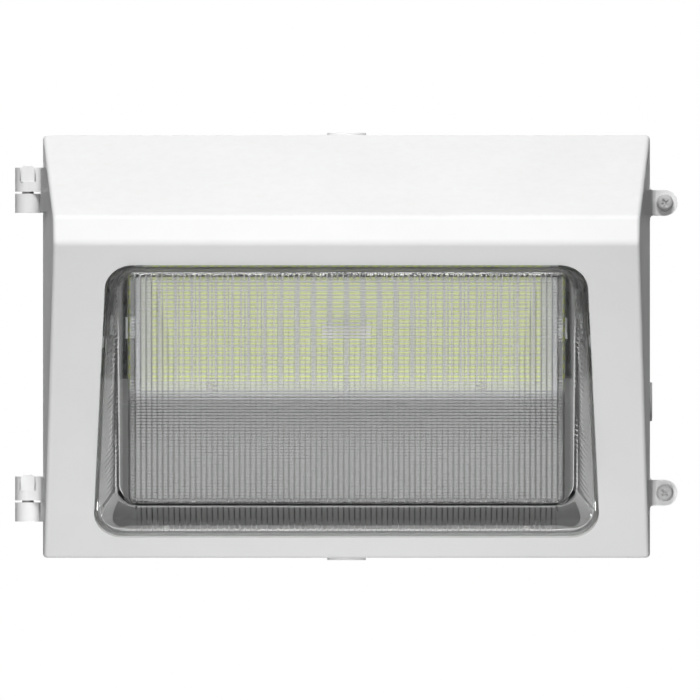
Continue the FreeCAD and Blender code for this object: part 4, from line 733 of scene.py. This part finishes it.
def lens():
    """Pressed lens: ribs across outside, ribs up and down inside, on a flanged neck, with painted shade
    in the valleys and round the edges.
    """
    uprights, upright_valleys = rib_lines(-RIB_FIELD, RIB_COUNT, UPRIGHT_PITCH)
    rows = int((LENS_LENGTH - LENS_EDGES[0] - LENS_EDGES[2]) / CROSS_PITCH)
    crosses, cross_valleys = rib_lines(-LENS_LENGTH + LENS_EDGES[0], rows, CROSS_PITCH)
    reach, fade = SIDE, 0.0006

    def across_ribs(x, y):
        inside = abs(x) < RIB_FIELD - fade / 2 and crosses[0] <= y <= crosses[-1]
        return rib(y - crosses[0], CROSS_PITCH, CROSS_HEIGHT, 0.7) if inside else 0.0

    def upright_ribs(x, y):
        height = UPRIGHT_HEIGHT * (UPRIGHT_AT_TOP - (1 - UPRIGHT_AT_TOP) * y / LENS_LENGTH)
        return -rib(x + RIB_FIELD, UPRIGHT_PITCH, height, 0.2) if abs(x) < RIB_FIELD else 0.0

    def depth_of(distance, pitch, power):
        return abs(2 * ((distance / pitch) % 1.0) - 1) ** power

    def ease(value, low, high):
        share = min(max((value - low) / (high - low), 0.0), 1.0)
        return share * share * (3 - 2 * share)

    # painted shade in the valleys of the ribs across, darkest just below LENS_SHADE and fading further
    # down
    def cross_painted_shade(x, y):
        if not crosses[0] <= y <= crosses[-1]:
            return 0.0
        below = ease(-y, LENS_SHADE, LENS_SHADE + 0.008)
        fading = 1 - 0.75 * ease(-y, LENS_SHADE + 0.012, LENS_SHADE + 0.045)
        valley = depth_of(y - crosses[0], CROSS_PITCH, 1.4)
        return (0.06 + CROSS_PAINTED_SHADE * below * fading) * valley * (abs(x) < RIB_FIELD)

    # painted shade in the valleys of the upright ribs, darker low down and near the sides of the rib
    # field
    def upright_painted_shade(x, y):
        low = ease(-y, LENS_SHADE, LENS_LENGTH)
        edge = ease(abs(x), RIB_FIELD - 0.038, RIB_FIELD - 0.008)
        edge *= ease(-y, 0.09 * (1 - edge) - 0.012, 0.09 * (1 - edge) + 0.004)
        share = 0.03 + UPRIGHT_PAINTED_SHADE * low * (1 - edge) + FIELD_SIDE_PAINTED_SHADE * edge
        return share * depth_of(x + RIB_FIELD, UPRIGHT_PITCH, 2.2) * (abs(x) < RIB_FIELD)

    outer_x = [(RIB_FIELD - fade) * i / 8 for i in range(-8, 9)]
    outer_x = [-reach, -RIB_FIELD] + outer_x + [RIB_FIELD, reach]
    outer_y = [-reach] + crosses + [reach]
    inner_x = [-reach] + uprights + [reach]
    inner_y = [-reach] + [-LENS_LENGTH * i / 40 for i in range(40, -1, -1)] + [reach]
    outer, outer_rim = ribbed_panel(front_outline(0), LENS_FRONT, outer_x, outer_y,
                                    set(), {j + 1 for j in cross_valleys}, across_ribs, cross_painted_shade)
    behind = LENS_FRONT @ Matrix.Translation((0, 0, -LENS_WALL))
    inner, inner_rim = ribbed_panel(front_outline(LENS_WALL, 1.0, INNER_EDGES), behind, inner_x,
                                    inner_y, {i + 1 for i in upright_valleys}, set(), upright_ribs,
                                    upright_painted_shade)

    def edge_painted_shade(place, point, step):
        """Painted shade on the rounded edge and the walls behind it; step runs from the panel (0) to
        the wall (6) and on.
        """
        side = int(place)
        if 4 <= side <= 6:
            wavy = 1 + 0.12 * sin(place * 190) * (side == 5)
            return TOP_PAINTED_SHADE[step] * wavy if step <= EDGE_STEPS else 0.6
        if side in (3, 7):
            upper = ease(point.y, -0.05, -0.03)
            return SIDE_PAINTED_SHADE[step] if step <= EDGE_STEPS else 0.85 * upper
        if side == 1 and abs(point.x) < RIB_FIELD:
            valley = depth_of(point.x + RIB_FIELD, UPRIGHT_PITCH, 3)
            return (FOLD_PAINTED_SHADE[step] if step <= EDGE_STEPS else 0.3) * valley
        return 0.0

    def walls(bm, rim, skin, flange):
        """Rings from the panel's rim round its edge, along the walls and neck to the flange."""
        widths, deep = (INNER_EDGES, INNER_EDGE_DEPTH) if skin else (LENS_EDGES, LENS_EDGE_DEPTH)
        panel, neck = front_outline(skin, 1.0, widths), opening_outline(LENS_GAP + skin)
        groove, rings, ring_painted_shades = bm.verts.layers.float["groove"], [], []
        for step in range(EDGE_STEPS + 1):
            turn = EDGE_TURN * step / EDGE_STEPS
            part = front_outline(skin, 1 - sin(turn) / sin(EDGE_TURN), widths)
            back = -skin - deep * (1 - cos(turn)) / (1 - cos(EDGE_TURN))
            ring = []
            ring_painted_shades.append([edge_painted_shade(p, part.point(p), step) for p in ring_places(part, uprights)])
            for place, point in [(p, part.point(p)) for p in ring_places(part, uprights)]:
                relief = 0.0
                if skin and 1 <= place < 2 and abs(point.x) < RIB_FIELD:
                    relief = rib(point.x + RIB_FIELD, UPRIGHT_PITCH, UPRIGHT_HEIGHT)
                out = part.outward(place)
                ring.append(LENS_FRONT @ Vector((point.x - out.x * relief * sin(turn),
                                                 point.y - out.y * relief * sin(turn),
                                                 back - relief * cos(turn))))
            rings.append(ring)
        places = ring_places(neck, uprights)
        starts, ends = rings[-1], [FACE @ Vector((*neck.point(p), 0)) for p in places]
        starts_flat = [panel.point(p) for p in ring_places(panel, uprights)]
        for share in WALL_SHARES:
            ring = []
            ring_painted_shades.append([edge_painted_shade(p, point, EDGE_STEPS + 1) * (share > 0.5 or int(p) not in (3, 7))
                          for p, point in zip(places, starts_flat)])
            for start, end, place in zip(starts, ends, places):
                relief = 0.0
                if skin and 1 <= place < 2:
                    relief = rib(start.x + RIB_FIELD, UPRIGHT_PITCH, UPRIGHT_HEIGHT, 0.6)
                    relief *= abs(start.x) < RIB_FIELD
                elif skin and 0.3 <= share <= 0.6 and int(place) in (3, 7):
                    relief = rib((place - int(place)) * LENS_LENGTH, SIDE_RIB_PITCH, SIDE_RIB_HEIGHT)
                out = FACE.to_3x3() @ Vector((*neck.outward(place), 0))
                ring.append(start.lerp(end, share) + out * -relief)
            rings.append(ring)
        rings.append(ends)
        grown = opening_outline(-FLANGE_REACH)
        for outline, depth in flange(neck, grown):
            rings.append([FACE @ Vector((*outline.point(p), -depth))
                          for p in ring_places(outline, uprights)])
        made = [[bm.verts.new(co) for co in ring] for ring in rings]
        # painted shade on every ring of the edge, walls and neck
        for ring, row in zip(made, ring_painted_shades):
            for vert, value in zip(ring, row):
                vert[groove] = value
        zip_rings(bm, rim, list(zip(ring_places(panel, uprights), made[0])))
        valleys = {11 + i for i in upright_valleys} if skin else set()
        for ring, after in zip(made, made[1:]):
            for i in range(len(ring)):
                j = (i + 1) % len(ring)
                face = bm.faces.new((ring[i], after[i], after[j], ring[j]))
                if i in valleys:
                    bm.edges.get((ring[i], after[i])).smooth = False
        return made[-1]

    walls(outer, outer_rim, 0.0, lambda neck, grown: [(neck, FLANGE_FRONT), (grown, FLANGE_FRONT),
                                                      (grown, FLANGE_BACK)])
    walls(inner, inner_rim, LENS_WALL, lambda neck, grown: [(neck, FLANGE_BACK), (grown, FLANGE_BACK)])
    spare = bpy.data.meshes.new("lens_inside")
    inner.to_mesh(spare)
    inner.free()
    outer.from_mesh(spare)
    bpy.data.meshes.remove(spare)
    bmesh.ops.remove_doubles(outer, verts=outer.verts, dist=2e-6)
    bmesh.ops.recalc_face_normals(outer, faces=outer.faces)
    return piece("ribbed_lens", outer, "door", ["lens"], FINISHES["prismatic_glass"])


lens()


# ---- LEDs and their connector

def led_shape():
    """One LED package: drafted frame round a sunk eight-sided window."""
    bm = bmesh.new()
    window = bm.faces.layers.float.new("window")
    w, h, top = LED_WIDTH / 2, LED_HEIGHT / 2, LED_THICK
    across, up, cut = w - 0.00009, h - 0.00009, 0.0003

    def ring(corners, z):
        return [bm.verts.new((x, y, z)) for x, y in corners]

    def oblong(x, y):
        return [(-x, -y), (x, -y), (x, y), (-x, y)]

    def eight(x, y, c):
        return [(-x + c, -y), (x - c, -y), (x, -y + c), (x, y - c),
                (x - c, y), (-x + c, y), (-x, y - c), (-x, -y + c)]

    foot, rim = ring(oblong(w, h), 0.00002), ring(oblong(w - 0.00006, h - 0.00006), top)
    lip = ring(eight(across, up, cut), top)
    pool = ring(eight(across - 0.0001, up - 0.0001, cut), top - 0.0001)
    bm.faces.new(foot[::-1])
    for i in range(4):
        j = (i + 1) % 4
        bm.faces.new((foot[i], foot[j], rim[j], rim[i]))
        bm.faces.new((rim[i], rim[j], lip[2 * i + 1], lip[2 * i]))
        bm.faces.new((rim[j], lip[(2 * i + 2) % 8], lip[2 * i + 1]))
    for i in range(8):
        j = (i + 1) % 8
        bm.faces.new((lip[i], lip[j], pool[j], pool[i]))
    bm.faces.new(pool)[window] = 1.0
    return bm


def leds():
    """Packages on the seats of the plain ones."""
    solids = solids_of("led_packages", BACK)
    points = [BACK @ Vector(((lo[0] + hi[0]) / 2, (lo[1] + hi[1]) / 2, lo[2])) for lo, hi in solids]
    repeat("led_rows", led_shape(), points, BACK, "housing", "led_packages",
           FINISHES["led_phosphor"])


def connector():
    """Board connector with two rows of open contact wells."""
    long, high, deep = CONNECTOR
    step = long / (CONNECTOR_PINS + 1)
    columns = [-long / 2] + [-long / 2 + step * (i + 1) + side * PIN_WELL
                             for i in range(CONNECTOR_PINS) for side in (-1, 1)] + [long / 2]
    rows = [-high / 2, -PIN_ROW - PIN_WELL, -PIN_ROW + PIN_WELL, PIN_ROW - PIN_WELL, PIN_ROW + PIN_WELL,
            high / 2]
    bm = bmesh.new()
    grid = [[bm.verts.new((x, y, deep)) for x in columns] for y in rows]
    wells = []
    for j in range(len(rows) - 1):
        for i in range(len(columns) - 1):
            face = bm.faces.new((grid[j][i], grid[j][i + 1], grid[j + 1][i + 1], grid[j + 1][i]))
            if i % 2 and j in (1, 3):
                wells.append(face)
    for face in wells:
        sunk = bmesh.ops.extrude_discrete_faces(bm, faces=[face])["faces"][0]
        for vert in sunk.verts:
            vert.co = (vert.co.x, vert.co.y, deep - 0.0022)
    rim = [edge for edge in bm.edges if edge.is_boundary]
    made = bmesh.ops.extrude_edge_only(bm, edges=rim)["geom"]
    for vert in [v for v in made if isinstance(v, bmesh.types.BMVert)]:
        vert.co.z = 0.00002
    bmesh.ops.contextual_create(bm, geom=[e for e in bm.edges if e.is_boundary])
    bmesh.ops.recalc_face_normals(bm, faces=bm.faces)
    outer = [edge for edge in bm.edges
             if all(abs(abs(vert.co.x) - long / 2) < 1e-6 and abs(abs(vert.co.y) - high / 2) < 1e-6
                    for vert in edge.verts)]
    bmesh.ops.bevel(bm, geom=outer, offset=0.0008, segments=3, affect="EDGES", profile=0.5)
    bmesh.ops.transform(bm, matrix=front_frame(BOARD_FACE, BOARD_MIDDLE), verts=bm.verts)
    piece("board_connector", bm, "housing", ["led_connector"],
          FINISHES["connector_nylon"], smooth=False)


leds()
connector()
screws("board_screws", BOARD_HEADS, "housing", seed=3)
screws("bracket_screws", SMALL_HEADS, "housing", seed=4)
screws("cover_screws", SMALL_HEADS, "housing", seed=5)
screws("driver_screws", SMALL_HEADS, "housing", seed=6)
screws("tab_screws", SMALL_HEADS, "housing", seed=7)
screws("ground_screw", SMALL_HEADS, "housing", seed=8)
screws("lens_clip_screws", SMALL_HEADS, "door", INTO_DOOR, seed=9)
screws("door_screw_upper", DOOR_HEADS, "screw_upper", threaded=DOOR_THREAD, seed=10, finished=ZINC)
screws("door_screw_lower", DOOR_HEADS, "screw_lower", threaded=DOOR_THREAD, seed=11, finished=ZINC)

# ---- camera, light and floor

VIEW_WIDTH = 0.4175       # seen across the picture at the parting plane
PARTING = 0.066
FOCAL, SENSOR = 1400.0, 36.0
DISTANCE = VIEW_WIDTH * FOCAL / SENSOR
OFF_CENTRE = 0.0021       # the light sits this far left of and above the picture's middle


def camera():
    data = bpy.data.cameras.new("camera")
    data.lens, data.sensor_width = FOCAL, SENSOR
    data.clip_start, data.clip_end = 1.0, 100.0
    made = bpy.data.objects.new("camera", data)
    made.location = (OFF_CENTRE, -PARTING - DISTANCE, -OFF_CENTRE)
    made.rotation_euler = (pi / 2, 0, 0)
    bpy.context.scene.collection.objects.link(made)
    bpy.context.scene.camera = made


def soft_box(name, place, size, strength, spread_angle=180, aim=(0, 0, 0)):
    """Oblong area lamp aimed at the object or at a place of its own; strength is its radiance."""
    data = bpy.data.lights.new(name, "AREA")
    data.spread = radians(spread_angle)
    data.shape, data.size, data.size_y = "RECTANGLE", size[0], size[1]
    data.energy = strength * size[0] * size[1] * pi
    made = bpy.data.objects.new(name, data)
    made.location = place
    made.rotation_euler = (Vector(aim) - Vector(place)).to_track_quat("-Z", "Y").to_euler()
    made.visible_camera = False
    bpy.context.scene.collection.objects.link(made)


def surroundings():
    """White for what the eye, metal and glass see; dim grey as light."""
    world = bpy.data.worlds.new("studio")
    bpy.context.scene.world = world
    world.use_nodes = True
    tree = world.node_tree
    seen = tree.nodes["Background"]
    seen.inputs["Color"].default_value = (1, 1, 1, 1)
    lit = add(tree, "ShaderNodeBackground", {"Color": (0.02, 0.02, 0.021, 1), "Strength": 1.0})
    ray = tree.nodes.new("ShaderNodeLightPath")
    mirrored = math(tree, "MAXIMUM", ray.outputs["Is Glossy Ray"],
                    ray.outputs["Is Transmission Ray"])
    shown = math(tree, "MAXIMUM", ray.outputs["Is Camera Ray"], mirrored)
    both = add(tree, "ShaderNodeMixShader", {0: shown, 1: lit.outputs[0], 2: seen.outputs[0]})
    tree.links.new(both.outputs[0], tree.nodes["World Output"].inputs["Surface"])


def floor():
    """Pale floor well below the light, with a weak bounce; from beneath it isn't seen."""
    bm = bmesh.new()
    bmesh.ops.create_circle(bm, cap_ends=True, segments=96, radius=3.0)
    mesh = bpy.data.meshes.new("floor")
    bm.to_mesh(mesh)
    bm.free()
    made = bpy.data.objects.new("floor", mesh)
    made.location = (0, 0, -1.0)
    bpy.context.scene.collection.objects.link(made)
    material, tree, shader = finish("pale_floor", Roughness=0.8)
    speckle = noise(tree, object_place(tree), 40.0, 4.0)
    pale = mix(tree, speckle, grey(0.86), grey(0.9))
    seen = tree.nodes.new("ShaderNodeLightPath").outputs["Is Camera Ray"]
    tree.links.new(mix(tree, seen, grey(0.08), pale), shader.inputs["Base Color"])
    under = add(tree, "ShaderNodeMixShader", {
        0: tree.nodes.new("ShaderNodeNewGeometry").outputs["Backfacing"], 1: shader.outputs[0],
        2: tree.nodes.new("ShaderNodeBsdfTransparent").outputs[0]})
    tree.links.new(under.outputs[0], tree.nodes["Material Output"].inputs["Surface"])
    mesh.materials.append(material)


camera()
surroundings()
floor()
soft_box("key_above", (-0.22, -1.75, 2.3), (1.4, 0.9), 3.3, 70)
soft_box("low_fill", (0.0, -0.62, -0.55), (0.4, 0.8), 3.6)
soft_box("front_fill", (-0.1, -3.0, 0.3), (1.2, 1.0), 0.44, 70)
soft_box("back_fill", (0.0, 2.5, 0.05), (1.0, 0.8), 2.6, 70)
soft_box("floor_light", (0.0, 0.0, -0.5), (5.0, 5.0), 0.6, aim=(0, 0, -1))
bpy.context.scene.view_settings.view_transform = "Standard"
